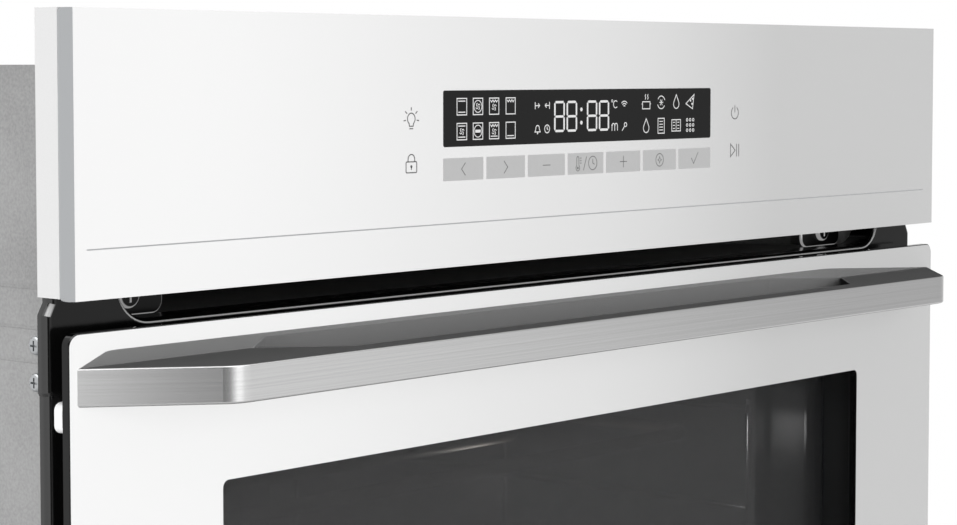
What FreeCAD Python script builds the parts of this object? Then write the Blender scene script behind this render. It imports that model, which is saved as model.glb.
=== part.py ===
import FreeCAD, Part
import math
import os

# Built-in wall oven with a bottom-hinged door.
# Frame: +Z up, X to the right seen from the front, front facing -Y.
# X = 0 is the middle, Y = 0 the front plane of the cabinet that the front frame lies against,
# Z = 0 the underside of the casing. All sizes in millimetres.

# ---- overall sizes ----
front_width = 595.0
front_top = 595.0
body_depth = 548.0
niche_overlap = 19.5
front_over_body = 20.0
casing_sheet = 1.0
body_width = front_width - 2 * niche_overlap
body_height = front_top - front_over_body
side_inner_x = body_width / 2 - casing_sheet

# ---- control panel ----
fascia_front_y = -19.0
fascia_height = 103.3
fascia_glass_thickness = 4.0
fascia_bevel = 3.6
fascia_corner_radius = 2.0
fascia_rear_y = -2.1
fascia_bottom_z = front_top - fascia_height
fascia_back_y = fascia_front_y + fascia_glass_thickness
end_cap_wall = 2.6
end_cap_step = 1.0
end_cap_edge_radius = 0.8
housing_wall = 2.5
housing_clearance = 0.15
display_width = 189.0
display_height = 23.3
display_centre_x = -4.9
display_below_top = 42.0
display_centre_z = front_top - display_below_top
display_depth = 6.0
touch_board_height = 15.0
touch_board_thickness = 1.6
touch_board_gap = 1.8
board_window_margin = 1.0

# ---- heights and widths of the door, which the front frame follows ----
door_gap = 11.5
door_top_z = fascia_bottom_z - door_gap
door_bottom_z = 4.0
door_side_inset = 1.3
door_half_width = front_width / 2 - door_side_inset
door_front_y = -17.7
door_glass_thickness = 4.0
door_back_y = door_front_y + door_glass_thickness
door_corner_radius = 4.5

# ---- front frame ----
frame_front_y = -4.8
frame_back_y = 0.0
frame_sheet = 1.5
frame_side_inset = 2.5
frame_half_width = front_width / 2 - frame_side_inset
frame_bulge = 0.6
frame_bulge_bottom_z = door_top_z - 22.2
frame_shoulder_z = door_top_z + 5.8
frame_shoulder_in = 2.4
frame_shoulder_rise = 4.3
frame_bottom_z = 12.0
frame_below_top = 29.0
frame_top_z = front_top - frame_below_top
frame_edge_radius = 3.0
frame_corner_radius = 8.0
dish_side_gap = 1.0
dish_half_width = side_inner_x - frame_sheet - dish_side_gap
dish_bottom_z = 24.0
dish_top_z = door_top_z - 10.7
dish_floor_y = 22.0
dish_back_y = dish_floor_y + frame_sheet
dish_corner_radius = 16.0
dish_entry_radius = 2.0
slot_side_inset = 12.5
slot_half_width = dish_half_width - slot_side_inset
slot_bottom_z = door_top_z + 1.3
slot_height = 31.0
slot_corner_radius = 15.0
slot_depth = 14.0
slot_entry_radius = 2.2
niche_screw_inset = 12.5
niche_screw_x = front_width / 2 - niche_screw_inset
niche_screw_radius = 2.5
niche_screw_low_z = frame_bottom_z + 108.0
niche_screw_high_z = frame_bulge_bottom_z - 58.0

# ---- inside the door ----
column_side_gap = 4.5
column_outer_x = dish_half_width - column_side_gap
column_width = 30.0
column_inner_x = column_outer_x - column_width
column_wall = 1.6
column_end_gap_bottom = 8.0
column_end_gap_top = 5.5
column_bottom_z = dish_bottom_z + column_end_gap_bottom
column_top_z = dish_top_z - column_end_gap_top
inner_glass_half_width = column_outer_x - 3.0
inner_glass_corner_radius = 6.0
inner_glass_thickness = 4.0
inner_glass_rear_y = 17.5
inner_glass_front_y = inner_glass_rear_y - inner_glass_thickness
middle_glass_front_y = -2.0
trim_height = 10.0
trim_slots = 11
trim_slot_pitch = 40.0
trim_slot_length = 30.0
trim_slot_width = 4.0
door_part_gap = 0.2
bumper_height = 11.1
bumper_depth = 4.4
bumper_length = 22.0
bumper_corner_radius = 3.0
bumper_seat_gap = 0.1
bumper_edge_inset = 0.3
bumper_top_z = door_top_z - 24.7
bumper_low_z = 70.0

# ---- cavity ----
mouth_side_margin = 3.0
mouth_top_margin = 49.5
mouth_bottom_margin = 56.0
cavity_half = column_inner_x - mouth_side_margin
cavity_floor_z = dish_bottom_z + mouth_bottom_margin
cavity_top_z = dish_top_z - mouth_top_margin
cavity_middle_z = (cavity_floor_z + cavity_top_z) / 2
rear_room = 119.5
cavity_rear_y = body_depth - rear_room
cavity_sheet = 1.2
cavity_corner_radius = 18.0
insulation_thickness = 22.0
insulation_front_gap = 4.0
insulation_liner_gap = 0.3
well_gap = 2.0
element_pocket = 14.0
seal_radius = 3.6
seal_gap = 0.4
seal_margin = 2.0

# ---- handle ----
handle_side_inset = 5.2
handle_half_length = front_width / 2 - handle_side_inset
handle_height = 13.9
handle_top_z = door_top_z - 12.3
handle_protrusion = 36.0
handle_slope_run = 44.0
handle_band = 12.0
handle_foot_length = 86.0
handle_corner_radius = 16.0
handle_inner_radius = 4.2
handle_edge_radius = 0.9
handle_screw_inset = 37.3
handle_screw_x = handle_half_length - handle_screw_inset
handle_screw_radius = 2.5
handle_screw_head_radius = 4.2
handle_screw_depth = 12.0
thread_end_gap = 0.5
screw_hole_clearance = 0.6

# ---- door hinges ----
hinge_axis_y = -8.0
hinge_axis_z = 14.0
hinge_x = column_outer_x - column_width / 2
hinge_pin_radius = 2.5
hinge_pin_clearance = 0.05
hinge_pin_head = 1.0
hinge_pin_head_rim = 1.2
hinge_arm_thickness = 4.0
hinge_arm_height = 6.0
hinge_arm_hook = 10.0
hinge_hook_length = 12.0
hinge_channel_inside = 15.0
hinge_channel_sheet = 1.5
hinge_channel_top_z = 190.0
hinge_end_radius = 5.2
hinge_eye_step = 0.4
hinge_slot_clearance = 1.5
hinge_slot_above_dish = 14.0
plunger_travel = 18.0
spring_wire = 1.6
spring_radius = 5.2
spring_room = 62.0
spring_turn_gap = 0.4
spring_seat_gap = 0.1
plunger_radius = 2.4
plunger_clearance = 0.4
plunger_washer = 2.5
plunger_foot = 6.0
rod_y = 0.0
abutment_z = 110.0
abutment_thickness = 3.0
receiver_width = 16.0
receiver_rear_y = 78.0
receiver_top_z = 42.0
receiver_clearance = 0.3

# ---- inside the cavity ----
rack_wire = 2.6
rack_upright_share = 0.8
rack_inset = 12.0
rack_front_y = dish_back_y + 27.5
rack_rear_y = cavity_rear_y - 33.5
rack_bottom_z = cavity_floor_z + 47.0
rack_levels = 6
rack_below_roof = 28.0
rack_pitch = (cavity_top_z - rack_below_roof - rack_bottom_z) / (rack_levels - 1)
shelf_level = 2
tray_level = 0
rack_rest_gap = 0.15
shelf_wire = 2.2
shelf_frame_wire = 3.0
shelf_bars = 20
shelf_bar_inset = 22.0
shelf_corner_radius = 12.0
shelf_side_gap = 4.0
shelf_front_y = dish_back_y + 16.5
shelf_rear_y = rack_rear_y - 15.0
tray_depth = 30.0
tray_sheet = 1.2
tray_rim = 14.0
tray_rim_radius = 12.0
tray_corner_radius = 16.0
element_wire = 3.4
grill_front_y = rack_front_y + 10.0
grill_rear_y = cavity_rear_y - 93.5
grill_half_width = cavity_half - 52.0
grill_loop_pitch = 62.0
grill_loop_setback = 35.0
grill_bend = 14.0
grill_leg_x = 60.0
grill_inner_leg_x = 20.0
grill_z = cavity_top_z - 36.0
element_wall_gap = 0.3
bottom_element_half_width = cavity_half - 67.0
bottom_element_front_y = dish_back_y + 66.5
bottom_element_rear_y = cavity_rear_y - 58.5
bottom_element_leg_x = 30.0
bottom_element_bend = 30.0

# ---- fans ----
motor_radius = 30.0
motor_length = 46.0
motor_gap = 6.0
motor_plate = 2.0
convection_fan_z = cavity_middle_z
convection_fan_radius = 70.0
convection_blades = 12
convection_blade_depth = 18.0
convection_hub_radius = 10.0
fan_sheet = 1.2
blade_root_radius = 22.0
ring_element_radius = convection_fan_radius + 22.0
ring_leg_x = 20.0
ring_leg_step = 0.4
fan_cover_half_width = convection_fan_radius + 80.0
fan_cover_half_height = convection_fan_radius + 42.0
fan_cover_depth = 34.0
fan_cover_sheet = 1.5
fan_cover_radius = 20.0
fan_cover_gap = 0.2
grille_hole_radius = 2.8
grille_ring_pitch = 16.0
grille_rings = ((1, 8), (2, 14), (3, 20))
outlet_slots = 9
outlet_slot_pitch = 20.0
outlet_slot_height = 4.0
outlet_slot_length = 26.0
outlet_slot_inset = 22.0
fan_running_gap = 1.5
shaft_radius = 4.0
shaft_clearance = 0.05

# ---- lamp and probe ----
lamp_x = fan_cover_half_width + 25.0
lamp_z = cavity_top_z - 50.0
lamp_glass_radius = 26.0
lamp_glass_depth = 14.0
lamp_glass_wall = 2.5
lamp_glass_rim = 5.0
lamp_glass_edge_radius = 8.0
lamp_wall_gap = 0.1
lamp_hole_step = 4.0
bulb_radius = lamp_glass_radius - 9.0
bulb_front_gap = 8.0
socket_depth = 6.0
lamp_holder_length = 24.0
probe_x = -lamp_x
probe_z = lamp_z
probe_radius = 3.0
probe_clearance = 0.05
probe_inside = 45.0
probe_outside = 12.0

# ---- cooling fan and air duct ----
duct_wall = 1.2
duct_gap = 0.3
duct_straight = 40.0
duct_below_slot = 4.0
duct_above_slot = 2.0
duct_bottom_z = slot_bottom_z - duct_below_slot
duct_height = slot_height + duct_below_slot + duct_above_slot
cooling_fan_y = body_depth - 218.0
cooling_fan_z = duct_bottom_z + 48.5
cooling_rotor_radius = 28.0
cooling_rotor_length = 150.0
cooling_blades = 20
cooling_blade_width = 7.0
cooling_blade_sheet = 1.0
cooling_disc = 1.5
housing_play = 4.5
housing_radius = 8.0
cooling_outlet_margin = 8.0
cooling_inlet_width = 30.0
cooling_inlet_margin = 12.0
cooling_motor_width = 46.0
cooling_motor_length = 42.0
shaft_end_inset = 6.0

# ---- electrics ----
gland_x = 87.0 - side_inner_x
gland_z = 120.0
gland_radius = 9.0
gland_seat_play = 0.02
gland_wall = 4.0
gland_flange = 4.0
gland_flange_thickness = 5.0
gland_inside = 14.0
terminal_width = 56.0
terminal_height = 22.0
terminal_length = 24.0
terminal_wire_gap = 4.0
terminal_poles = 5
terminal_pitch = 10.0
terminal_wire_radius = 2.2
terminal_screw_radius = 2.6
terminal_screw_inset = 6.0
board_width = 120.0
board_length = 120.0
board_duct_gap = 10.0
board_thickness = 1.6
board_lift = 6.0
cutout_x = 150.0
cutout_y = body_depth - 128.0
cutout_radius = 8.0
cutout_height = 9.0
cutout_seat_gap = 0.2
cutout_tab_width = 24.0
cutout_tab_sheet = 4.0
cutout_tab_height = 7.0

# ---- casing vents and screws ----
vent_width = 5.0
vent_end_radius = 2.4
casing_front_y = 3.5
pan_head_radius = 3.5
pan_head_height = 2.2
rear_screw_radius = 1.6
rear_screw_head_radius = 4.0
rear_screw_x = side_inner_x - 77.0
rear_screw_low_z = 60.0
rear_screw_high_z = body_height - 75.0
side_screw_y = 21.5
side_screw_high_z = door_top_z - 8.2
side_screw_pitch = 13.7
side_screw_radius = 1.8
side_screw_hole_play = 0.1
side_screw_length = 4.4
side_tab_margin = 8.0
bead_half_width = 0.7
bead_depth = 0.4
side_bead_z = (door_top_z + 13.0, door_top_z - 1.9, door_top_z - 14.4)

# ---- fascia brackets ----
bracket_y = 16.0
bracket_sheet = 1.5
bracket_inner_x = slot_half_width - 40.0
bracket_width = 36.0
bracket_bottom_z = slot_bottom_z - 1.0
bracket_top_z = duct_bottom_z + duct_height - duct_wall - 0.02
bracket_foot = 12.0
bracket_corner_radius = 5.0
bracket_rim_radius = 0.7
bracket_screw_x = bracket_inner_x + bracket_width / 2
bracket_screw_above_slot = 7.0
bracket_screw_z = slot_bottom_z + bracket_screw_above_slot
bracket_screw_radius = 1.9
bracket_screw_hole_play = 0.1
bracket_screw_head_radius = 5.2
bracket_screw_length = 7.0

# How far a cutting tool runs past the faces it opens.
overrun = 1.0

parts = {}


def vector(x, y, z):
    return FreeCAD.Vector(x, y, z)


def box(x, y, z):
    """A block between two limits on each axis."""
    return Part.makeBox(x[1] - x[0], y[1] - y[0], z[1] - z[0], vector(x[0], y[0], z[0]))


def around(centre, size):
    """The two limits of a length that lies about its centre."""
    return (centre - size / 2, centre + size / 2)


def both(half):
    """The two limits of a length that lies about zero."""
    return (-half, half)


def rod(start, end, radius):
    """A round bar between two points."""
    line = end - start
    return Part.makeCylinder(radius, line.Length, start, line)


def parallel_edges(shape, axis):
    """The straight edges of a shape that run along one axis (0, 1 or 2)."""
    found = []
    for edge in shape.Edges:
        if len(edge.Vertexes) != 2:
            continue
        line = edge.Vertexes[1].Point - edge.Vertexes[0].Point
        if abs(abs(line[axis]) - line.Length) < 1e-6:
            found.append(edge)
    return found


def rounded_box(x, y, z, axis, radius):
    """A block with the four edges along one axis rounded."""
    block = box(x, y, z)
    return block.makeFillet(radius, parallel_edges(block, axis))


def edges_at(shape, axis, level, inside=None):
    """Edges whose ends and middle all lie at one level of an axis, within a box if one is given."""
    found = []
    for edge in shape.Edges:
        points = [edge.valueAt(edge.FirstParameter), edge.valueAt(edge.LastParameter)]
        points.append(edge.valueAt((edge.FirstParameter + edge.LastParameter) / 2))
        if any(abs(point[axis] - level) > 1e-4 for point in points):
            continue
        if inside is None or all(inside.isInside(point, 1e-3, True) for point in points):
            found.append(edge)
    return found


def prism(points, direction):
    """A straight block on a flat outline."""
    outline = Part.makePolygon(points + [points[0]])
    return Part.Face(outline).extrude(direction)


def bent_rod(points, radius, bend):
    """A round bar through points, with an arc of the same radius at every inner point."""
    edges = []
    last = points[0]
    for before, corner, after in zip(points, points[1:], points[2:]):
        back = (before - corner).normalize()
        on = (after - corner).normalize()
        half_angle = back.getAngle(on) / 2
        reach = bend / math.tan(half_angle)
        first = corner + back * reach
        third = corner + on * reach
        middle = (back + on).normalize()
        centre = corner + middle * (bend / math.sin(half_angle))
        second = centre - middle * bend
        if (first - last).Length > 1e-6:
            edges.append(Part.LineSegment(last, first).toShape())
        edges.append(Part.Arc(first, second, third).toShape())
        last = third
    edges.append(Part.LineSegment(last, points[-1]).toShape())
    path = Part.Wire(edges)
    section = Part.Wire(Part.makeCircle(radius, points[0], points[1] - points[0]))
    return path.makePipeShell([section], True, False)


def fuse(shapes):
    return shapes[0].multiFuse(shapes[1:]).removeSplitter()


def cut(shape, tools):
    return shape.cut(Part.makeCompound(tools))


def mirrored(shape):
    return shape.mirror(vector(0, 0, 0), vector(1, 0, 0))


def pan_screw(seat, direction, length, shank_radius, head_radius=pan_head_radius):
    """A screw with a domed head that sits on a point, and a cross recess in the head."""
    axis = direction.normalize()
    out = axis * pan_head_height
    head = Part.makeCylinder(head_radius, pan_head_height, seat - out, axis)
    rim = edges_near_plane(head, seat - out, axis)
    head = head.makeFillet(pan_head_height * 0.6, rim)
    shank = Part.makeCylinder(shank_radius, length, seat, axis)
    side = axis.cross(vector(0, 0, 1))
    if side.Length < 0.5:
        side = axis.cross(vector(1, 0, 0))
    up = side.cross(axis)
    recess = []
    for arm, across in ((side, up), (up, side)):
        reach = head_radius * 0.55
        width = head_radius * 0.11
        depth = axis * pan_head_height * 0.6
        corner = [
            seat - out * 1.1 + arm * reach + across * width,
            seat - out * 1.1 - arm * reach + across * width,
            seat - out * 1.1 - arm * reach - across * width,
            seat - out * 1.1 + arm * reach - across * width,
        ]
        recess.append(prism(corner, depth))
    return head.fuse(shank).removeSplitter().cut(Part.makeCompound(recess))


def edges_near_plane(shape, point, axis):
    """Closed round edges that lie in the plane through a point, square to an axis."""
    found = []
    for edge in shape.Edges:
        place = edge.valueAt(edge.FirstParameter)
        other = edge.valueAt((edge.FirstParameter + edge.LastParameter) / 2)
        if abs((place - point).dot(axis)) < 1e-6 and abs((other - point).dot(axis)) < 1e-6:
            found.append(edge)
    return found


def keep(name, *solids):
    parts[name] = solids[0] if len(solids) == 1 else Part.makeCompound(list(solids))


def keep_pair(name, solid):
    """The right-hand piece and its mirror image on the left."""
    keep("right_" + name, solid)
    keep("left_" + name, mirrored(solid))


# ---------------------------------------------------------------- control panel
def control_panel():
    half = front_width / 2
    depth_y = (fascia_front_y, fascia_back_y)
    full_z = (fascia_bottom_z, front_top)

    # One pane of glass, painted white behind. Its two short ends are bevelled.
    glass = rounded_box(both(half), depth_y, full_z, 1, fascia_corner_radius)
    for side in (-1, 1):
        corner = side * half
        wedge = [
            vector(corner + side, fascia_front_y - 1, 0),
            vector(corner - side * (fascia_bevel + 1), fascia_front_y - 1, 0),
            vector(corner + side, fascia_front_y + fascia_bevel + 1, 0),
        ]
        wedge = [point + vector(0, 0, fascia_bottom_z - 1) for point in wedge]
        glass = glass.cut(prism(wedge, vector(0, 0, fascia_height + 2)))
    keep("fascia_glass", glass)

    # Moulded end caps close the two ends behind the glass.
    cap = box(
        (half - end_cap_wall, half),
        (fascia_back_y + housing_clearance, fascia_rear_y),
        (fascia_bottom_z + end_cap_step, front_top),
    )
    rear_edges = [edge for edge in parallel_edges(cap, 2) if edge.BoundBox.YMin > fascia_rear_y - 0.1]
    cap = cap.makeFillet(end_cap_edge_radius, rear_edges)
    keep_pair("end_cap", cap)

    # The housing is a shallow tray with a web that carries the display and the touch board.
    tray_x = both(half - end_cap_wall - housing_clearance)
    tray_y = (fascia_back_y + housing_clearance, frame_front_y - housing_clearance)
    tray_z = (fascia_bottom_z + end_cap_step, front_top - housing_clearance)
    tray = box(tray_x, tray_y, tray_z)
    hollow = box(
        (tray_x[0] + housing_wall, tray_x[1] - housing_wall),
        (tray_y[0] + housing_wall, tray_y[1] + 1),
        (tray_z[0] + housing_wall, tray_z[1] - housing_wall),
    )
    board_z = display_centre_z - display_height / 2 - touch_board_gap - touch_board_height / 2
    cutouts = [
        hollow,
        box(
            around(display_centre_x, display_width + board_window_margin),
            (tray_y[0] - 1, tray_y[1] + 1),
            around(display_centre_z, display_height + board_window_margin),
        ),
        box(
            around(display_centre_x, display_width + board_window_margin),
            (tray_y[0] - 1, tray_y[1] + 1),
            around(board_z, touch_board_height + board_window_margin),
        ),
    ]
    keep("fascia_housing", cut(tray, cutouts))

    front = fascia_back_y + housing_clearance
    keep(
        "display_module",
        box(
            around(display_centre_x, display_width),
            (front, front + display_depth),
            around(display_centre_z, display_height),
        ),
    )
    keep(
        "touch_board",
        box(
            around(display_centre_x, display_width),
            (front, front + touch_board_thickness),
            around(board_z, touch_board_height),
        ),
    )


# ---------------------------------------------------------------- front frame
def front_frame():
    side = frame_half_width
    bulge = side + frame_bulge
    narrow = bulge - frame_shoulder_in
    half_outline = [
        (side, frame_bottom_z),
        (side, frame_bulge_bottom_z - 2 * frame_bulge),
        (bulge, frame_bulge_bottom_z),
        (bulge, frame_shoulder_z),
        (narrow, frame_shoulder_z + frame_shoulder_rise),
        (narrow, frame_top_z),
    ]
    outline = [vector(x, frame_front_y, z) for x, z in half_outline]
    outline += [vector(-x, frame_front_y, z) for x, z in reversed(half_outline)]
    flange = prism(outline, vector(0, frame_back_y - frame_front_y, 0))
    corners = []
    for edge in parallel_edges(flange, 1):
        if edge.BoundBox.ZMax < frame_bottom_z + 1:
            corners.append(edge)
    flange = flange.makeFillet(frame_corner_radius, corners)
    flange = flange.makeFillet(frame_edge_radius, edges_at(flange, 1, frame_front_y))

    # The sheet is hollow behind, with the outer lip turned back to the cabinet.
    inset = frame_sheet
    pocket_outline = []
    for x, z in half_outline:
        level = z
        if z == frame_bottom_z:
            level = z + inset
        if z == frame_top_z:
            level = z - inset
        pocket_outline.append((x - inset, level))
    pocket = [vector(x, frame_front_y + inset, z) for x, z in pocket_outline]
    pocket += [vector(-x, frame_front_y + inset, z) for x, z in reversed(pocket_outline)]
    pocket = prism(pocket, vector(0, 20, 0))
    corners = []
    for edge in parallel_edges(pocket, 1):
        if edge.BoundBox.ZMax < frame_bottom_z + inset + 1:
            corners.append(edge)
    pocket = pocket.makeFillet(frame_corner_radius - inset, corners)
    frame = flange.cut(pocket)

    # The dish takes the inner part of the door, and its floor has the cavity mouth.
    dish_outside = rounded_box(
        both(dish_half_width + inset),
        (frame_front_y + 0.01, dish_back_y),
        (dish_bottom_z - inset, dish_top_z + inset),
        1,
        dish_corner_radius + inset,
    )
    slot_outside = rounded_box(
        both(slot_half_width + inset),
        (frame_front_y + 0.01, frame_front_y + slot_depth),
        (slot_bottom_z - inset, slot_bottom_z + slot_height + inset),
        1,
        slot_corner_radius + inset,
    )
    dish_inside = rounded_box(
        both(dish_half_width),
        (frame_front_y - 5, dish_floor_y),
        (dish_bottom_z, dish_top_z),
        1,
        dish_corner_radius,
    )
    slot_inside = rounded_box(
        both(slot_half_width),
        (frame_front_y - 5, frame_front_y + slot_depth + 5),
        (slot_bottom_z, slot_bottom_z + slot_height),
        1,
        slot_corner_radius,
    )
    mouth = rounded_box(
        both(cavity_half),
        (dish_floor_y - 5, dish_back_y + 5),
        (cavity_floor_z, cavity_top_z),
        1,
        cavity_corner_radius,
    )
    tabs = []
    for side_sign in (-1, 1):
        tabs.append(
            box(
                sorted((side_sign * dish_half_width, side_sign * (dish_half_width + inset))),
                (side_screw_y - side_tab_margin, side_screw_y + side_tab_margin),
                (side_screw_high_z - side_screw_pitch - side_tab_margin, dish_top_z + frame_sheet),
            )
        )
    frame = frame.fuse([dish_outside, slot_outside] + tabs)
    frame = cut(frame, [dish_inside, slot_inside, mouth])
    frame = frame.removeSplitter()
    entry_zone = box(
        both(dish_half_width + 1),
        (frame_front_y - 1, frame_front_y + 1),
        (dish_bottom_z - 1, dish_top_z + 1),
    )
    frame = frame.makeFillet(dish_entry_radius, edges_at(frame, 1, frame_front_y, entry_zone))
    slot_zone = box(
        both(slot_half_width + 1),
        (frame_front_y - 1, frame_front_y + 1),
        (slot_bottom_z - 1, slot_bottom_z + slot_height + 1),
    )
    frame = frame.makeFillet(slot_entry_radius, edges_at(frame, 1, frame_front_y, slot_zone))

    # Slots for the two hinge arms, four holes for the screws into the cabinet and four in the casing tabs.
    openings = []
    for index in range(2):
        z = side_screw_high_z - index * side_screw_pitch
        for side_sign in (-1, 1):
            openings.append(
                rod(
                    vector(side_sign * (dish_half_width - 1), side_screw_y, z),
                    vector(side_sign * (dish_half_width + inset + 1), side_screw_y, z),
                    side_screw_radius,
                )
            )
    slot_half = hinge_channel_inside / 2 + hinge_channel_sheet + hinge_slot_clearance
    for side_sign in (-1, 1):
        centre = side_sign * hinge_x
        openings.append(
            box(
                around(centre, 2 * slot_half),
                (frame_front_y - 1, dish_back_y + 1),
                (frame_bottom_z - 1, dish_bottom_z + hinge_slot_above_dish),
            )
        )
        for z in (niche_screw_low_z, niche_screw_high_z):
            openings.append(
                rod(
                    vector(side_sign * niche_screw_x, frame_front_y - 1, z),
                    vector(side_sign * niche_screw_x, frame_back_y + 1, z),
                    niche_screw_radius,
                )
            )
    keep("front_frame", cut(frame, openings))


# ---------------------------------------------------------------- casing
def casing():
    half = body_width / 2
    rear = body_depth
    sheet = casing_sheet
    top = body_height

    base = box(both(half), (frame_back_y, rear), (0, sheet))
    vents = []
    for row in range(4):
        for column in (-3, -2, -1, 1, 2, 3):
            vent_x = around(column * 62, 40)
            vent_y = around(130 + row * (rear - 188) / 4, vent_width)
            vents.append(rounded_box(vent_x, vent_y, (-1, sheet + 1), 2, vent_end_radius))
    keep("base_plate", cut(base, vents))

    side_z = (sheet, top - sheet)
    panel = box((side_inner_x, half), (casing_front_y, rear - sheet), side_z)
    beads = []
    for z in side_bead_z:
        beads.append(
            box((half - bead_depth, half + 1), (casing_front_y - 1, rear), around(z, 2 * bead_half_width))
        )
    for row in range(5):
        vent_y = around(rear - 118, 50)
        vent_z = around(100 + row * 14, vent_width)
        beads.append(rounded_box((side_inner_x - 1, half + 1), vent_y, vent_z, 0, vent_end_radius))
    screw_holes = []
    for index in range(2):
        z = side_screw_high_z - index * side_screw_pitch
        start = vector(side_inner_x - 1, side_screw_y, z)
        end = vector(half + 1, side_screw_y, z)
        screw_holes.append(rod(start, end, side_screw_radius + side_screw_hole_play))
    keep_pair("side_panel", cut(panel, beads + screw_holes))

    cover = box(both(half), (casing_front_y, rear), (top - sheet, top))
    slots = []
    for column in range(-4, 5):
        vent_x = around(column * 44, vent_width)
        vent_y = around(rear - 78, 60)
        slots.append(rounded_box(vent_x, vent_y, (top - sheet - 1, top + 1), 2, vent_end_radius))
    keep("top_cover", cut(cover, slots))

    back = box(both(side_inner_x), (rear - sheet, rear), side_z)
    openings = []
    for row in range(8):
        for column in (-1, 1):
            vent_x = around(column * 130, 90)
            vent_z = around(body_height - 245 + row * 14, vent_width)
            openings.append(rounded_box(vent_x, (rear - sheet - 1, rear + 1), vent_z, 1, vent_end_radius))
    start = vector(gland_x, rear - sheet - 1, gland_z)
    end = vector(gland_x, rear + 1, gland_z)
    openings.append(rod(start, end, gland_radius + gland_seat_play))
    keep("rear_cover", cut(back, openings))

    screws = []
    for index in range(2):
        z = side_screw_high_z - index * side_screw_pitch
        seat = vector(half, side_screw_y, z)
        screw = pan_screw(seat, vector(-1, 0, 0), side_screw_length, side_screw_radius)
        screws.append(screw)
        screws.append(mirrored(screw))
    keep("side_screws", *screws)

    corner_screws = []
    inward = vector(0, -1, 0)
    for x in both(rear_screw_x):
        for z in (rear_screw_low_z, rear_screw_high_z):
            seat = vector(x, rear, z)
            corner_screws.append(pan_screw(seat, inward, sheet, rear_screw_radius, rear_screw_head_radius))
    back_with_holes = parts["rear_cover"]
    for screw in corner_screws:
        back_with_holes = back_with_holes.cut(screw)
    keep("rear_cover", back_with_holes)
    keep("rear_screws", *corner_screws)


def electrics():
    rear = body_depth
    # A moulded gland passes the supply cable through the rear cover to the terminal block.
    outside = rear + gland_flange_thickness
    inside = rear - gland_inside
    body = rod(vector(gland_x, inside, gland_z), vector(gland_x, outside, gland_z), gland_radius)
    flange_start = vector(gland_x, rear + gland_seat_play, gland_z)
    flange = rod(flange_start, vector(gland_x, outside, gland_z), gland_radius + gland_flange)
    bore_start = vector(gland_x, inside - overrun, gland_z)
    bore = rod(bore_start, vector(gland_x, outside + overrun, gland_z), gland_radius - gland_wall)
    keep("cable_gland", body.fuse(flange).removeSplitter().cut(bore))

    block_rear = inside - terminal_wire_gap
    block_front = block_rear - terminal_length
    block = box(around(gland_x, terminal_width), (block_front, block_rear), around(gland_z, terminal_height))
    holes = []
    top = gland_z + terminal_height / 2 + overrun
    for pole in range(terminal_poles):
        x = gland_x + (pole - (terminal_poles - 1) / 2) * terminal_pitch
        way_in = vector(x, block_front - overrun, gland_z)
        holes.append(rod(way_in, vector(x, block_rear + overrun, gland_z), terminal_wire_radius))
        for y in (block_front + terminal_screw_inset, block_rear - terminal_screw_inset):
            holes.append(rod(vector(x, y, gland_z), vector(x, y, top), terminal_screw_radius))
    keep("terminal_block", cut(block, holes))


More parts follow.
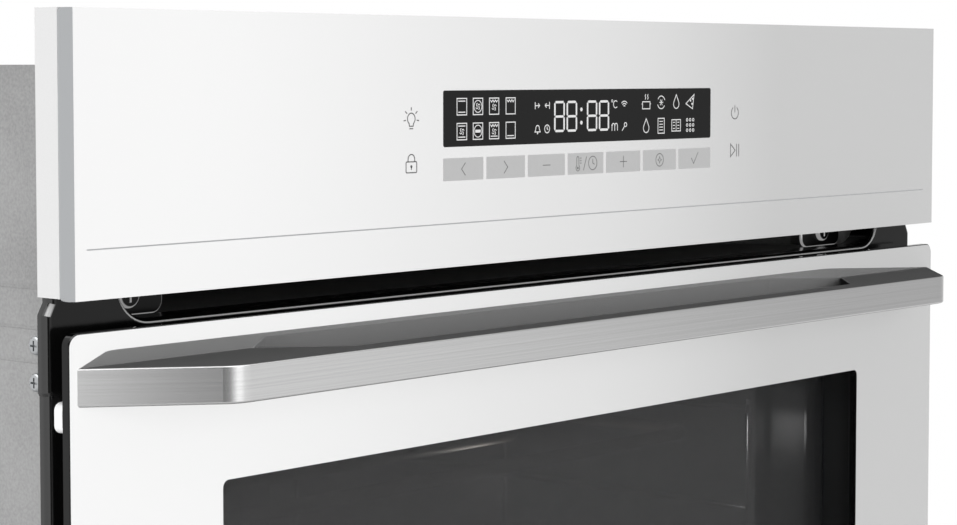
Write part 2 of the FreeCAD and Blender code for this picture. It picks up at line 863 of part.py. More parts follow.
# ---------------------------------------------------------------- cavity
def cavity():
    # The enamelled liner is a box open at the front, with a hole for the fan shaft in its rear wall.
    sheet = cavity_sheet
    outside = rounded_box(
        both(cavity_half + sheet),
        (dish_back_y, cavity_rear_y + sheet),
        (cavity_floor_z - sheet, cavity_top_z + sheet),
        1,
        cavity_corner_radius + sheet,
    )
    inside = rounded_box(
        both(cavity_half),
        (dish_back_y - 1, cavity_rear_y),
        (cavity_floor_z, cavity_top_z),
        1,
        cavity_corner_radius,
    )
    liner = outside.cut(inside)
    shaft_hole = rod(
        vector(0, cavity_rear_y - 1, convection_fan_z),
        vector(0, cavity_rear_y + 3, convection_fan_z),
        shaft_radius + fan_running_gap,
    )
    lamp_hole = rod(
        vector(lamp_x, cavity_rear_y - 1, lamp_z),
        vector(lamp_x, cavity_rear_y + 3, lamp_z),
        lamp_glass_radius - lamp_hole_step,
    )
    probe_hole = rod(
        vector(probe_x, cavity_rear_y - 1, probe_z),
        vector(probe_x, cavity_rear_y + 3, probe_z),
        probe_radius + probe_clearance,
    )
    keep("cavity_liner", cut(liner, [shaft_hole, lamp_hole, probe_hole]))

    # The wool wraps the liner, with room under the floor for the bottom element.
    wool_front = dish_back_y + insulation_front_gap
    wool_rear = cavity_rear_y + sheet + motor_gap
    wool_floor = cavity_floor_z - sheet - element_pocket
    wool_inside = rounded_box(
        both(cavity_half + sheet + insulation_liner_gap),
        (wool_front - 1, wool_rear),
        (wool_floor, cavity_top_z + sheet + insulation_liner_gap),
        1,
        cavity_corner_radius,
    )
    wool = rounded_box(
        both(cavity_half + sheet + insulation_thickness),
        (wool_front, wool_rear + insulation_thickness),
        (wool_floor - insulation_thickness, cavity_top_z + sheet + insulation_thickness),
        1,
        cavity_corner_radius + insulation_thickness,
    )
    well_end = wool_rear + insulation_thickness + overrun
    motor_well = rod(
        vector(0, cavity_rear_y, convection_fan_z),
        vector(0, well_end, convection_fan_z),
        motor_radius + well_gap,
    )
    lamp_well = rod(
        vector(lamp_x, cavity_rear_y, lamp_z),
        vector(lamp_x, well_end, lamp_z),
        lamp_glass_radius + well_gap,
    )
    probe_well = rod(
        vector(probe_x, cavity_rear_y, probe_z),
        vector(probe_x, well_end, probe_z),
        probe_radius + well_gap / 2,
    )
    keep("insulation", cut(wool, [wool_inside, motor_well, lamp_well, probe_well]))

    # The door seal is a hollow tube in a ring round the cavity mouth.
    seal_y = dish_floor_y - seal_radius
    half = cavity_half + seal_radius + seal_margin
    low = cavity_floor_z - seal_radius - seal_margin
    high = cavity_top_z + seal_radius + seal_margin
    bend = cavity_corner_radius + seal_radius
    corners = [
        vector(0, seal_y, low),
        vector(half, seal_y, low),
        vector(half, seal_y, high),
        vector(-half, seal_y, high),
        vector(-half, seal_y, low),
        vector(0, seal_y, low),
    ]
    room = dish_floor_y - inner_glass_rear_y - seal_gap
    ring = bent_rod(corners, seal_radius, bend)
    pressed_flat = box(both(half + 20), (dish_floor_y - room, dish_floor_y), (low - 20, high + 20))
    keep("cavity_seal", ring.common(pressed_flat))


def racks():
    # Each guide is a welded wire ladder that hangs on the cavity wall.
    x = cavity_half - rack_inset
    levels = [rack_bottom_z + index * rack_pitch for index in range(rack_levels)]
    wires = []
    for z in levels:
        wires.append(rod(vector(x, rack_front_y, z), vector(x, rack_rear_y, z), rack_wire))
    upright_x = x + rack_wire
    upright_wire = rack_wire * rack_upright_share
    for y in (rack_front_y + 1.0, rack_rear_y - 1.0):
        wires.append(
            rod(
                vector(upright_x, y, levels[0] - 2 * rack_wire),
                vector(upright_x, y, levels[-1] + 2 * rack_wire),
                upright_wire,
            )
        )
    middle = (rack_front_y + rack_rear_y) / 2
    foot = vector(upright_x, middle, levels[0])
    wires.append(rod(foot, vector(upright_x, middle, levels[-1]), upright_wire))
    for y in (rack_front_y + 1.0, rack_rear_y - 1.0):
        for z in (levels[0] + rack_pitch / 2, levels[-1] - rack_pitch / 2):
            wires.append(rod(vector(upright_x, y, z), vector(cavity_half, y, z), upright_wire))
    keep_pair("rack_guide", fuse(wires))

    # The shelf is a rectangle of thick wire with thin bars welded on top.
    shelf_z = levels[shelf_level] + rack_wire + shelf_frame_wire + rack_rest_gap
    half = x
    frame_half = half - shelf_frame_wire
    rear = shelf_rear_y
    corners = [
        vector(0, shelf_front_y, shelf_z),
        vector(frame_half, shelf_front_y, shelf_z),
        vector(frame_half, rear, shelf_z),
        vector(-frame_half, rear, shelf_z),
        vector(-frame_half, shelf_front_y, shelf_z),
        vector(0, shelf_front_y, shelf_z),
    ]
    bars = [bent_rod(corners, shelf_frame_wire, shelf_corner_radius)]
    for index in range(shelf_bars):
        bar_x = (2 * index / (shelf_bars - 1) - 1) * (frame_half - shelf_bar_inset)
        bars.append(
            rod(
                vector(bar_x, shelf_front_y, shelf_z + shelf_frame_wire * 0.6),
                vector(bar_x, rear, shelf_z + shelf_frame_wire * 0.6),
                shelf_wire,
            )
        )
    keep("wire_shelf", fuse(bars))

    # The tray is drawn from one sheet, with a rim that runs on the guides.
    rim_z = levels[tray_level] + rack_wire + rack_rest_gap
    basin = half - 2 * rack_wire - shelf_side_gap
    rim = rounded_box(both(half), (shelf_front_y, rear), (rim_z, rim_z + tray_sheet), 2, tray_rim_radius)
    outer = rounded_box(
        both(basin),
        (shelf_front_y + tray_rim, rear - tray_rim),
        (rim_z - tray_depth, rim_z + tray_sheet),
        2,
        tray_corner_radius,
    )
    inner = rounded_box(
        both(basin - tray_sheet),
        (shelf_front_y + tray_rim + tray_sheet, rear - tray_rim - tray_sheet),
        (rim_z - tray_depth + tray_sheet, rim_z + tray_sheet + 1),
        2,
        tray_corner_radius - tray_sheet,
    )
    keep("baking_tray", rim.fuse(outer).removeSplitter().cut(inner))


def elements():
    # Grill element: two loops of tube under the cavity roof, their ends at the rear wall.
    z = grill_z
    rear = cavity_rear_y - element_wall_gap
    loops = []
    outer_loop = (grill_half_width, grill_front_y, grill_rear_y, grill_leg_x)
    inner_loop = (
        grill_half_width - grill_loop_pitch,
        grill_front_y + grill_loop_pitch,
        grill_rear_y - grill_loop_setback,
        grill_inner_leg_x,
    )
    for half, front, back, leg in (outer_loop, inner_loop):
        points = [
            vector(-leg, rear, z),
            vector(-leg, back, z),
            vector(-half, back, z),
            vector(-half, front, z),
            vector(half, front, z),
            vector(half, back, z),
            vector(leg, back, z),
            vector(leg, rear, z),
        ]
        loops.append(bent_rod(points, element_wire, grill_bend))
    keep("grill_element", *loops)

    # Bottom element: one flat loop under the floor of the liner.
    low = cavity_floor_z - cavity_sheet - element_pocket / 2
    leg = bottom_element_leg_x
    half = bottom_element_half_width
    front = bottom_element_front_y
    back = bottom_element_rear_y
    points = [
        vector(-leg, cavity_rear_y, low),
        vector(-leg, back, low),
        vector(-half, back, low),
        vector(-half, front, low),
        vector(half, front, low),
        vector(half, back, low),
        vector(leg, back, low),
        vector(leg, cavity_rear_y, low),
    ]
    keep("bottom_element", bent_rod(points, element_wire, bottom_element_bend))

    # Ring element: a torus round the convection fan, on the rear wall.
    ring_y = cavity_rear_y - fan_cover_depth / 2
    ring = Part.makeTorus(
        ring_element_radius,
        element_wire,
        vector(0, ring_y, convection_fan_z),
        vector(0, 1, 0),
    )
    legs = []
    leg_length = fan_cover_depth / 2 - element_wall_gap
    for x in both(ring_leg_x):
        height = math.sqrt(ring_element_radius ** 2 - x * x)
        start = vector(x, ring_y, convection_fan_z + height)
        legs.append(rod(start, start + vector(0, leg_length, 0), element_wire - ring_leg_step))
    keep("ring_element", fuse([ring] + legs))

    # The fan cover is a pressed dish with an inlet grille and outlet slots.
    half_x = fan_cover_half_width
    half_z = fan_cover_half_height
    sheet = fan_cover_sheet
    front = cavity_rear_y - fan_cover_depth
    cover_y = (front, cavity_rear_y - fan_cover_gap)
    outer = rounded_box(both(half_x), cover_y, around(convection_fan_z, 2 * half_z), 1, fan_cover_radius)
    inner = rounded_box(
        both(half_x - sheet),
        (front + sheet, cavity_rear_y + overrun),
        around(convection_fan_z, 2 * (half_z - sheet)),
        1,
        fan_cover_radius - sheet,
    )
    holes = []
    tool_y = (front - overrun, front + sheet + overrun)
    for ring_index, count in grille_rings:
        radius = grille_ring_pitch * ring_index
        for index in range(count):
            angle = 2 * math.pi * index / count
            hole_x = radius * math.cos(angle)
            hole_z = convection_fan_z + radius * math.sin(angle)
            start = vector(hole_x, tool_y[0], hole_z)
            holes.append(rod(start, vector(hole_x, tool_y[1], hole_z), grille_hole_radius))
    for side in (-1, 1):
        for index in range(outlet_slots):
            z = convection_fan_z + (index - (outlet_slots - 1) / 2) * outlet_slot_pitch
            slot_x = around(side * (half_x - outlet_slot_inset), outlet_slot_length)
            holes.append(box(slot_x, tool_y, around(z, outlet_slot_height)))
    keep("fan_cover", cut(outer.cut(inner), holes))


def convection():
    # The fan runs between the cover and the rear wall on the shaft of the motor behind.
    front = cavity_rear_y - fan_cover_depth + fan_cover_sheet + 3 * fan_running_gap
    rear = front + convection_blade_depth
    hub = rod(
        vector(0, front, convection_fan_z),
        vector(0, rear, convection_fan_z),
        convection_hub_radius,
    )
    disc = rod(
        vector(0, rear - fan_sheet, convection_fan_z),
        vector(0, rear, convection_fan_z),
        convection_fan_radius - 4,
    )
    blades = []
    for index in range(convection_blades):
        blade_z = around(convection_fan_z, fan_sheet)
        blade = box((blade_root_radius, convection_fan_radius), (front, rear), blade_z)
        turn = 360.0 * index / convection_blades
        blade.rotate(vector(0, 0, convection_fan_z), vector(0, 1, 0), turn)
        blades.append(blade)
    rotor = fuse([hub, disc] + blades)
    bore = rod(
        vector(0, front - 1, convection_fan_z),
        vector(0, rear + 1, convection_fan_z),
        shaft_radius + shaft_clearance,
    )
    keep("convection_fan", rotor.cut(bore))

    body_front = cavity_rear_y + cavity_sheet + 1.0
    body = rod(
        vector(0, body_front, convection_fan_z),
        vector(0, body_front + motor_length, convection_fan_z),
        motor_radius,
    )
    plate_size = 1.8 * motor_radius
    plate_y = (body_front, body_front + motor_plate)
    plate = box(around(0, plate_size), plate_y, around(convection_fan_z, plate_size))
    shaft = rod(
        vector(0, front + 2, convection_fan_z),
        vector(0, body_front + 1, convection_fan_z),
        shaft_radius,
    )
    keep("convection_motor", fuse([body, plate, shaft]))


def lamp():
    # A glass dome faces the cavity, with the bulb and its ceramic holder behind the rear wall.
    rear = cavity_rear_y + cavity_sheet
    forward = vector(0, 1, 0)
    dome_front = cavity_rear_y - lamp_glass_depth
    dome_start = vector(lamp_x, dome_front, lamp_z)
    glass = rod(dome_start, vector(lamp_x, cavity_rear_y - lamp_wall_gap, lamp_z), lamp_glass_radius)
    glass = glass.makeFillet(lamp_glass_edge_radius, edges_near_plane(glass, dome_start, forward))
    room = rod(
        vector(lamp_x, dome_front + lamp_glass_wall, lamp_z),
        vector(lamp_x, cavity_rear_y + overrun, lamp_z),
        lamp_glass_radius - lamp_glass_rim,
    )
    keep("lamp_glass", glass.cut(room))

    bulb_start = vector(lamp_x, cavity_rear_y - bulb_front_gap, lamp_z)
    bulb = rod(bulb_start, vector(lamp_x, rear + socket_depth, lamp_z), bulb_radius)
    bulb = bulb.makeFillet(bulb_radius * 0.8, edges_near_plane(bulb, bulb_start, forward))
    keep("lamp_bulb", bulb)

    holder_start = vector(lamp_x, rear + 2 * lamp_wall_gap, lamp_z)
    holder = rod(holder_start, vector(lamp_x, rear + lamp_holder_length, lamp_z), lamp_glass_radius - 1)
    socket_end = vector(lamp_x, rear + socket_depth, lamp_z)
    socket = rod(vector(lamp_x, rear - overrun, lamp_z), socket_end, bulb_radius)
    keep("lamp_holder", holder.cut(socket))

    # The temperature probe is a closed tube through the rear wall.
    probe = rod(
        vector(probe_x, cavity_rear_y - probe_inside, probe_z),
        vector(probe_x, rear + probe_outside, probe_z),
        probe_radius,
    )
    keep("temperature_probe", probe)


# ---------------------------------------------------------------- cooling
def cooling():
    # A cross-flow rotor draws air over the electronics and blows it down the duct to the front slot.
    y = cooling_fan_y
    z = cooling_fan_z
    radius = cooling_rotor_radius
    half = cooling_rotor_length / 2
    blades = []
    for index in range(cooling_blades):
        blade_y = (y + radius - cooling_blade_width, y + radius)
        blade = box(both(half), blade_y, around(z, cooling_blade_sheet))
        blade.rotate(vector(0, y, z), vector(1, 0, 0), 360.0 * index / cooling_blades)
        blades.append(blade)
    discs = []
    for x in (-half, 0, half - cooling_disc):
        discs.append(rod(vector(x, y, z), vector(x + cooling_disc, y, z), radius))
    bore = rod(vector(-half - 1, y, z), vector(half + 1, y, z), shaft_radius + shaft_clearance)
    keep("cooling_rotor", fuse(discs + blades).cut(bore))

    # The scroll housing is open below-front towards the duct.
    gap = housing_play
    wall = duct_wall
    scroll_y = (y - radius - gap - wall, y + radius + gap + wall)
    scroll_z = (duct_bottom_z, z + radius + gap + wall)
    scroll_x = both(half + gap + wall)
    shell = rounded_box(scroll_x, scroll_y, scroll_z, 0, housing_radius)
    room = rounded_box(
        (scroll_x[0] + wall, scroll_x[1] - wall),
        (scroll_y[0] + wall, scroll_y[1] - wall),
        (scroll_z[0] + wall, scroll_z[1] - wall),
        0,
        housing_radius - wall,
    )
    outlet = box(
        (scroll_x[0] + wall, scroll_x[1] - wall),
        (scroll_y[0] - overrun, scroll_y[0] + wall + overrun),
        (duct_bottom_z + cooling_outlet_margin, duct_bottom_z + duct_height - cooling_outlet_margin),
    )
    inlet = box(
        (scroll_x[0] + cooling_inlet_margin, scroll_x[1] - cooling_inlet_margin),
        around(y, cooling_inlet_width),
        (scroll_z[1] - wall - overrun, scroll_z[1] + overrun),
    )
    way_end = vector(scroll_x[1] + overrun, y, z)
    shaft_way = rod(vector(half, y, z), way_end, shaft_radius + fan_running_gap)
    keep("cooling_fan_housing", cut(shell, [room, outlet, inlet, shaft_way]))

    motor_x = scroll_x[1] + 1.0
    motor_size = cooling_motor_width
    motor = box((motor_x, motor_x + cooling_motor_length), around(y, motor_size), around(z, motor_size))
    shaft = rod(vector(-half + shaft_end_inset, y, z), vector(motor_x + 1, y, z), shaft_radius)
    keep("cooling_motor", fuse([motor, shaft]))

    # The duct widens from the housing to the full width of the slot.
    duct_front = frame_front_y + slot_depth + duct_gap
    duct_rear = scroll_y[0] - duct_gap
    outer = duct_solid(0.0, duct_front, duct_rear, scroll_x[1])
    inner = duct_solid(wall, duct_front - 1, duct_rear + 1, scroll_x[1])
    keep("air_duct", outer.cut(inner))

    # The power board carries a transformer, a relay and a row of terminals.
    board_y = around(y, board_length)
    share = (board_y[0] - duct_front - duct_straight) / (duct_rear - duct_front - duct_straight)
    duct_half = slot_half_width + share * (scroll_x[1] - slot_half_width)
    board_end = -duct_half - board_duct_gap
    board_x = (board_end - board_width, board_end)
    low = duct_bottom_z + board_lift
    high = low + board_thickness
    transformer = box((board_x[0] + 15, board_x[0] + 50), around(y, 40), (high, high + 24))
    relay = box((board_x[1] - 50, board_x[1] - 30), around(y - 20, 16), (high, high + 14))
    row = box((board_x[1] - 55, board_x[1] - 20), around(y + 30, 12), (high, high + 12))
    keep("power_board", box(board_x, board_y, (low, high)), transformer, relay, row)

    # The thermal cut-out stops the heating when the space above the cavity gets too hot.
    top = duct_bottom_z + cutout_height
    seat = vector(cutout_x, cutout_y, duct_bottom_z + cutout_seat_gap)
    thermal = rod(seat, vector(cutout_x, cutout_y, top), cutout_radius)
    tabs = box(
        around(cutout_x, cutout_tab_width),
        around(cutout_y, cutout_tab_sheet),
        (top, top + cutout_tab_height),
    )
    keep("thermal_cutout", thermal.fuse(tabs))


def duct_solid(inset, front, rear, rear_half):
    """The duct's outer or inner form: full slot width in front, narrowing to the fan housing."""
    wide = slot_half_width - inset
    narrow = rear_half - inset
    outline = [
        vector(-wide, front, 0),
        vector(wide, front, 0),
        vector(wide, front + duct_straight, 0),
        vector(narrow, rear, 0),
        vector(-narrow, rear, 0),
        vector(-wide, front + duct_straight, 0),
    ]
    outline = [point + vector(0, 0, duct_bottom_z + inset) for point in outline]
    return prism(outline, vector(0, 0, duct_height - 2 * inset))


# ---------------------------------------------------------------- door
def door():
    glass_y = (door_front_y, door_back_y)
    glass = rounded_box(both(door_half_width), glass_y, (door_bottom_z, door_top_z), 1, door_corner_radius)
    screw_z = handle_top_z - handle_height / 2
    holes = []
    for x in (-handle_screw_x, handle_screw_x):
        holes.append(
            rod(
                vector(x, door_front_y - 1, screw_z),
                vector(x, door_back_y + 1, screw_z),
                handle_screw_radius + screw_hole_clearance,
            )
        )
    keep("door_outer_glass", cut(glass, holes))

    inner_z = (column_bottom_z, column_top_z)
    inner_x = both(inner_glass_half_width)
    inner_y = (inner_glass_front_y, inner_glass_rear_y)
    keep("door_inner_glass", rounded_box(inner_x, inner_y, inner_z, 1, inner_glass_corner_radius))
    middle_half = column_inner_x - door_part_gap
    middle_z = (column_bottom_z + trim_height + door_part_gap, column_top_z - trim_height - door_part_gap)
    middle_y = (middle_glass_front_y, middle_glass_front_y + inner_glass_thickness)
    keep("door_middle_glass", box(both(middle_half), middle_y, middle_z))

    # The columns are hollow profiles bonded to the outer glass; they hold the hinges and the inner panes.
    column_y = (door_back_y + door_part_gap, inner_glass_front_y - door_part_gap)
    column = box((column_inner_x, column_outer_x), column_y, inner_z)
    hollow = box(
        (column_inner_x + column_wall, column_outer_x - column_wall),
        (column_y[0] - 1, column_y[1] - column_wall),
        (inner_z[0] - 1, inner_z[1] + 1),
    )
    keep_pair("door_column", column.cut(hollow))

    # Trims close the top and the bottom between the columns, with vent slots for the air between the panes.
    trim_half = column_inner_x - door_part_gap
    slot_y = around((column_y[0] + middle_glass_front_y) / 2, trim_slot_width)
    for name, bottom in (("door_bottom_trim", inner_z[0]), ("door_top_trim", inner_z[1] - trim_height)):
        trim = box(both(trim_half), column_y, (bottom, bottom + trim_height))
        slots = []
        for index in range(trim_slots):
            slot_x = around((index - (trim_slots - 1) / 2) * trim_slot_pitch, trim_slot_length)
            slots.append(box(slot_x, slot_y, (bottom - overrun, bottom + trim_height + overrun)))
        keep(name, cut(trim, slots))

    # White bumpers grip the edge of the outer glass so that it never strikes the frame.
    bumpers = []
    seat = door_back_y + bumper_seat_gap
    for top in (bumper_top_z, bumper_low_z + bumper_height):
        bumper = rounded_box(
            (door_half_width - bumper_length, door_half_width - bumper_edge_inset),
            (seat, seat + bumper_depth),
            (top - bumper_height, top),
            1,
            bumper_corner_radius,
        )
        bumpers.append(bumper)
        bumpers.append(mirrored(bumper))
    keep("glass_bumpers", *bumpers)


def handle():
    # One bar of brushed aluminium; its ends run back to the glass as two sloping feet.
    front = door_front_y - handle_protrusion
    run = handle_slope_run
    half = handle_half_length
    band_back = front + handle_band
    inner_run = run * (door_front_y - band_back) / handle_protrusion
    foot_inner = half - handle_foot_length
    low = handle_top_z - handle_height
    right = [
        (half, door_front_y),
        (half - run, front),
    ]
    inside = [
        (foot_inner, door_front_y),
        (foot_inner - inner_run, band_back),
    ]
    outline = [vector(x, y, low) for x, y in right]
    outline += [vector(-x, y, low) for x, y in reversed(right)]
    outline += [vector(-x, y, low) for x, y in inside]
    outline += [vector(x, y, low) for x, y in reversed(inside)]
    bar = prism(outline, vector(0, 0, handle_height))
    corners = [edge for edge in parallel_edges(bar, 2) if edge.BoundBox.YMax < front + 0.1]
    bar = bar.makeFillet(handle_corner_radius, corners)
    corners = []
    for edge in parallel_edges(bar, 2):
        place = edge.BoundBox
        at_band = abs(place.YMax - band_back) < 0.01
        if at_band and abs(abs(place.XMax) - (foot_inner - inner_run)) < 0.01:
            corners.append(edge)
    bar = bar.makeFillet(handle_inner_radius, corners)
    rims = []
    for level in (low, handle_top_z):
        for edge in edges_at(bar, 2, level):
            if edge.BoundBox.YMin < door_front_y - 0.1:
                rims.append(edge)
    bar = bar.makeFillet(handle_edge_radius, rims)
    threads = []
    screw_z = handle_top_z - handle_height / 2
    screws = []
    for x in (-handle_screw_x, handle_screw_x):
        threads.append(
            rod(
                vector(x, door_front_y - handle_screw_depth, screw_z),
                vector(x, door_front_y + 1, screw_z),
                handle_screw_radius,
            )
        )
        screws.append(
            pan_screw(
                vector(x, door_back_y, screw_z),
                vector(0, -1, 0),
                door_glass_thickness + handle_screw_depth - thread_end_gap,
                handle_screw_radius,
                handle_screw_head_radius,
            )
        )
    keep("handle_bar", cut(bar, threads))
    keep("handle_screws", *screws)


def hinges():
    axis = vector(hinge_x, hinge_axis_y, hinge_axis_z)
    half_inside = hinge_channel_inside / 2
    reach = half_inside + hinge_channel_sheet

    # The channel stands in the column: two cheeks and a web, with rounded ends round the pin.
    cheeks = []
    front_y = hinge_axis_y - hinge_end_radius
    back_y = inner_glass_front_y - 2 * column_wall - 1.0
    for side in (-1, 1):
        x = sorted((hinge_x + side * half_inside, hinge_x + side * reach))
        plate = box(x, (front_y, back_y), (column_bottom_z, hinge_channel_top_z))
        neck = box(x, around(hinge_axis_y, 2 * hinge_end_radius), (hinge_axis_z, column_bottom_z))
        end_start = vector(x[0], hinge_axis_y, hinge_axis_z)
        round_end = rod(end_start, vector(x[1], hinge_axis_y, hinge_axis_z), hinge_end_radius)
        cheeks += [plate, neck, round_end]
    # The web and the abutment reach a little into the cheeks, so that they join into one piece.
    inner_x = around(hinge_x, 2 * half_inside + 0.01)
    web = box(inner_x, (front_y, front_y + hinge_channel_sheet), (column_bottom_z, hinge_channel_top_z))
    abutment = box(inner_x, (front_y, back_y), around(abutment_z, abutment_thickness))
    rod_way = rod(
        vector(hinge_x, rod_y, abutment_z - abutment_thickness),
        vector(hinge_x, rod_y, abutment_z + abutment_thickness),
        plunger_radius + plunger_clearance,
    )
    pin_way = vector(reach + overrun, 0, 0)
    pin_hole = rod(axis - pin_way, axis + pin_way, hinge_pin_radius)
    keep_pair("hinge_channel", cut(fuse(cheeks + [web, abutment]), [rod_way, pin_hole]))

    # The pin is riveted over at both ends.
    pin = [rod(axis - vector(reach, 0, 0), axis + vector(reach, 0, 0), hinge_pin_radius)]
    for side in (-1, 1):
        start = axis + vector(side * reach, 0, 0)
        end = start + vector(side * hinge_pin_head, 0, 0)
        pin.append(rod(start, end, hinge_pin_radius + hinge_pin_head_rim))
    pin = fuse(pin)
    keep("hinge_pins", pin, mirrored(pin))

    # The arm is a steel plate that hooks into the receiver behind the front frame.
    arm_x = around(hinge_x, hinge_arm_thickness)
    half_arm = vector(hinge_arm_thickness / 2, 0, 0)
    eye_radius = hinge_end_radius - hinge_eye_step
    eye = rod(axis - half_arm, axis + half_arm, eye_radius)
    top = hinge_axis_z + eye_radius
    arm_end = receiver_rear_y - 4.0
    plate = box(arm_x, (hinge_axis_y, arm_end), (top - hinge_arm_height, top))
    hook = box(arm_x, (arm_end - hinge_hook_length, arm_end), (top - 0.1, top + hinge_arm_hook))
    hole = rod(axis - pin_way, axis + pin_way, hinge_pin_radius + hinge_pin_clearance)
    keep_pair("hinge_arm", fuse([eye, plate, hook]).cut(hole))

    receiver_y = (dish_back_y + door_part_gap, receiver_rear_y)
    receiver = box(around(hinge_x, receiver_width), receiver_y, (casing_sheet, receiver_top_z))
    play = receiver_clearance
    pocket = box(
        around(hinge_x, hinge_arm_thickness + 2 * play),
        (dish_back_y - overrun, arm_end + 2 * play),
        (top - hinge_arm_height - play, top + hinge_arm_hook + play),
    )
    keep_pair("hinge_receiver", receiver.cut(pocket))

    # The spring sits round a rod that the opening door pulls down through the abutment.
    abutment_top = abutment_z + abutment_thickness / 2
    low = vector(hinge_x, rod_y, abutment_z - 30)
    high = vector(hinge_x, rod_y, abutment_top + spring_room)
    shaft = rod(low, high, plunger_radius)
    washer = rod(high, high + vector(0, 0, plunger_washer), spring_radius + spring_wire)
    foot = rod(low - vector(0, 0, plunger_foot), low, plunger_radius + 2.0)
    keep_pair("hinge_plunger", fuse([shaft, washer, foot]))

    turns = []
    turn_pitch = 2 * spring_wire + spring_turn_gap
    usable = spring_room - plunger_travel - 1.0
    for index in range(int((usable - spring_wire) / turn_pitch)):
        z = abutment_top + spring_wire + spring_seat_gap + index * turn_pitch
        turns.append(Part.makeTorus(spring_radius, spring_wire, vector(hinge_x, rod_y, z), vector(0, 0, 1)))
    keep("hinge_springs", *turns, *[mirrored(turn) for turn in turns])


def brackets():
    # Two folded tabs hang from the duct roof behind the air slot, each with one domed screw through it.
    tab_x = (bracket_inner_x, bracket_inner_x + bracket_width)
    tab_y = (bracket_y, bracket_y + bracket_sheet)
    tab = box(tab_x, tab_y, (bracket_bottom_z, bracket_top_z))
    low_edges = [edge for edge in parallel_edges(tab, 1) if edge.BoundBox.ZMax < bracket_bottom_z + 1]
    tab = tab.makeFillet(bracket_corner_radius, low_edges)
    rim = []
    for edge in edges_at(tab, 1, bracket_y):
        if edge.BoundBox.ZMin < bracket_top_z - 1:
            rim.append(edge)
    tab = tab.makeFillet(bracket_rim_radius, rim)
    foot = box(tab_x, (bracket_y, bracket_y + bracket_foot), (bracket_top_z - bracket_sheet, bracket_top_z))
    seat = vector(bracket_screw_x, bracket_y, bracket_screw_z)
    inward = vector(0, 1, 0)
    hole_radius = bracket_screw_radius + bracket_screw_hole_play
    hole = rod(seat - inward, seat + inward * (bracket_sheet + 1), hole_radius)
    tab = tab.fuse(foot).removeSplitter().cut(hole)
    screw = pan_screw(seat, inward, bracket_screw_length, bracket_screw_radius, bracket_screw_head_radius)
    keep("fascia_brackets", tab, mirrored(tab), screw, mirrored(screw))


# ---------------------------------------------------------------- write
control_panel()
front_frame()
brackets()
cavity()
racks()
elements()
convection()
lamp()
cooling()
electrics()
casing()
door()
handle()
hinges()

os.makedirs("parts", exist_ok=True)
for name, shape in parts.items():
    shape.exportStep("parts/" + name + ".step")
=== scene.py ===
import math

import bmesh
import bpy
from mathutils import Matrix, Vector


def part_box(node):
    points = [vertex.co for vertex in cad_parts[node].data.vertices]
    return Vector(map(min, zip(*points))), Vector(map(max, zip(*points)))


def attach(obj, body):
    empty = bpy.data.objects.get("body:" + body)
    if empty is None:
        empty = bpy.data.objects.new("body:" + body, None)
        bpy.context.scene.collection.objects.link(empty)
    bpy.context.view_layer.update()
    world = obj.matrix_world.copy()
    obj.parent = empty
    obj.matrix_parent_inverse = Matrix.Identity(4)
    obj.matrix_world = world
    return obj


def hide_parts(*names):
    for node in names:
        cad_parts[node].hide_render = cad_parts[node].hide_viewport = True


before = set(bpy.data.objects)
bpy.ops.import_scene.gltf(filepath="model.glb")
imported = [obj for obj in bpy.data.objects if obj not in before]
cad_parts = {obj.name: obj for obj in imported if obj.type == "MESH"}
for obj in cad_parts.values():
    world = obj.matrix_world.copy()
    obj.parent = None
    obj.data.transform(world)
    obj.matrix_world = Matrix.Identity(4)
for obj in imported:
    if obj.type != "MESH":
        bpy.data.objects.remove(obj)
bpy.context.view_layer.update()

# ------------------------------------------------------------------ casing
# Folded sheets of galvanised steel, screwed into a box round the cavity. The zinc coat gives the eye a dull
# grey with a faint spangle of crystals and a fine rolled grain.


def colour(code):
    """The linear colour of an sRGB hex value."""
    shares = [int(code[start:start + 2], 16) / 255 for start in (1, 3, 5)]
    return tuple(s / 12.92 if s <= 0.04045 else ((s + 0.055) / 1.055) ** 2.4 for s in shares) + (1.0,)


def add_node(tree, kind, inputs=None, **properties):
    """Adds one node with its properties, and its inputs as values or as other nodes' outputs."""
    made = tree.nodes.new(kind)
    for name, value in properties.items():
        setattr(made, name, value)
    for name, value in (inputs or {}).items():
        if isinstance(value, bpy.types.NodeSocket):
            tree.links.new(value, made.inputs[name])
        else:
            made.inputs[name].default_value = value
    return made


def start_material(name):
    """An empty material with the object's own coordinates to hang patterns on."""
    material = bpy.data.materials.new(name)
    material.use_nodes = True
    tree = material.node_tree
    tree.nodes.clear()
    place = add_node(tree, "ShaderNodeTexCoord").outputs["Object"]
    return material, tree, place


def end_material(material, inputs):
    """Gives a material its shader with these inputs, and its output."""
    tree = material.node_tree
    shader = add_node(tree, "ShaderNodeBsdfPrincipled", inputs)
    add_node(tree, "ShaderNodeOutputMaterial", {"Surface": shader.outputs[0]})
    return material


def two_tones(tree, share, dark, light):
    """A colour that runs from a dark tone to a light one."""
    ramp = add_node(tree, "ShaderNodeValToRGB", {"Fac": share})
    ramp.color_ramp.elements[0].color = colour(dark)
    ramp.color_ramp.elements[1].color = colour(light)
    return ramp


def finish_nodes(material, *names):
    """Puts a material in the slots of CAD nodes."""
    for name in names:
        for material_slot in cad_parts[name].material_slots:
            material_slot.material = material


SHEET_GRAIN = 0.0011
SHEET_CLOUD = 0.06


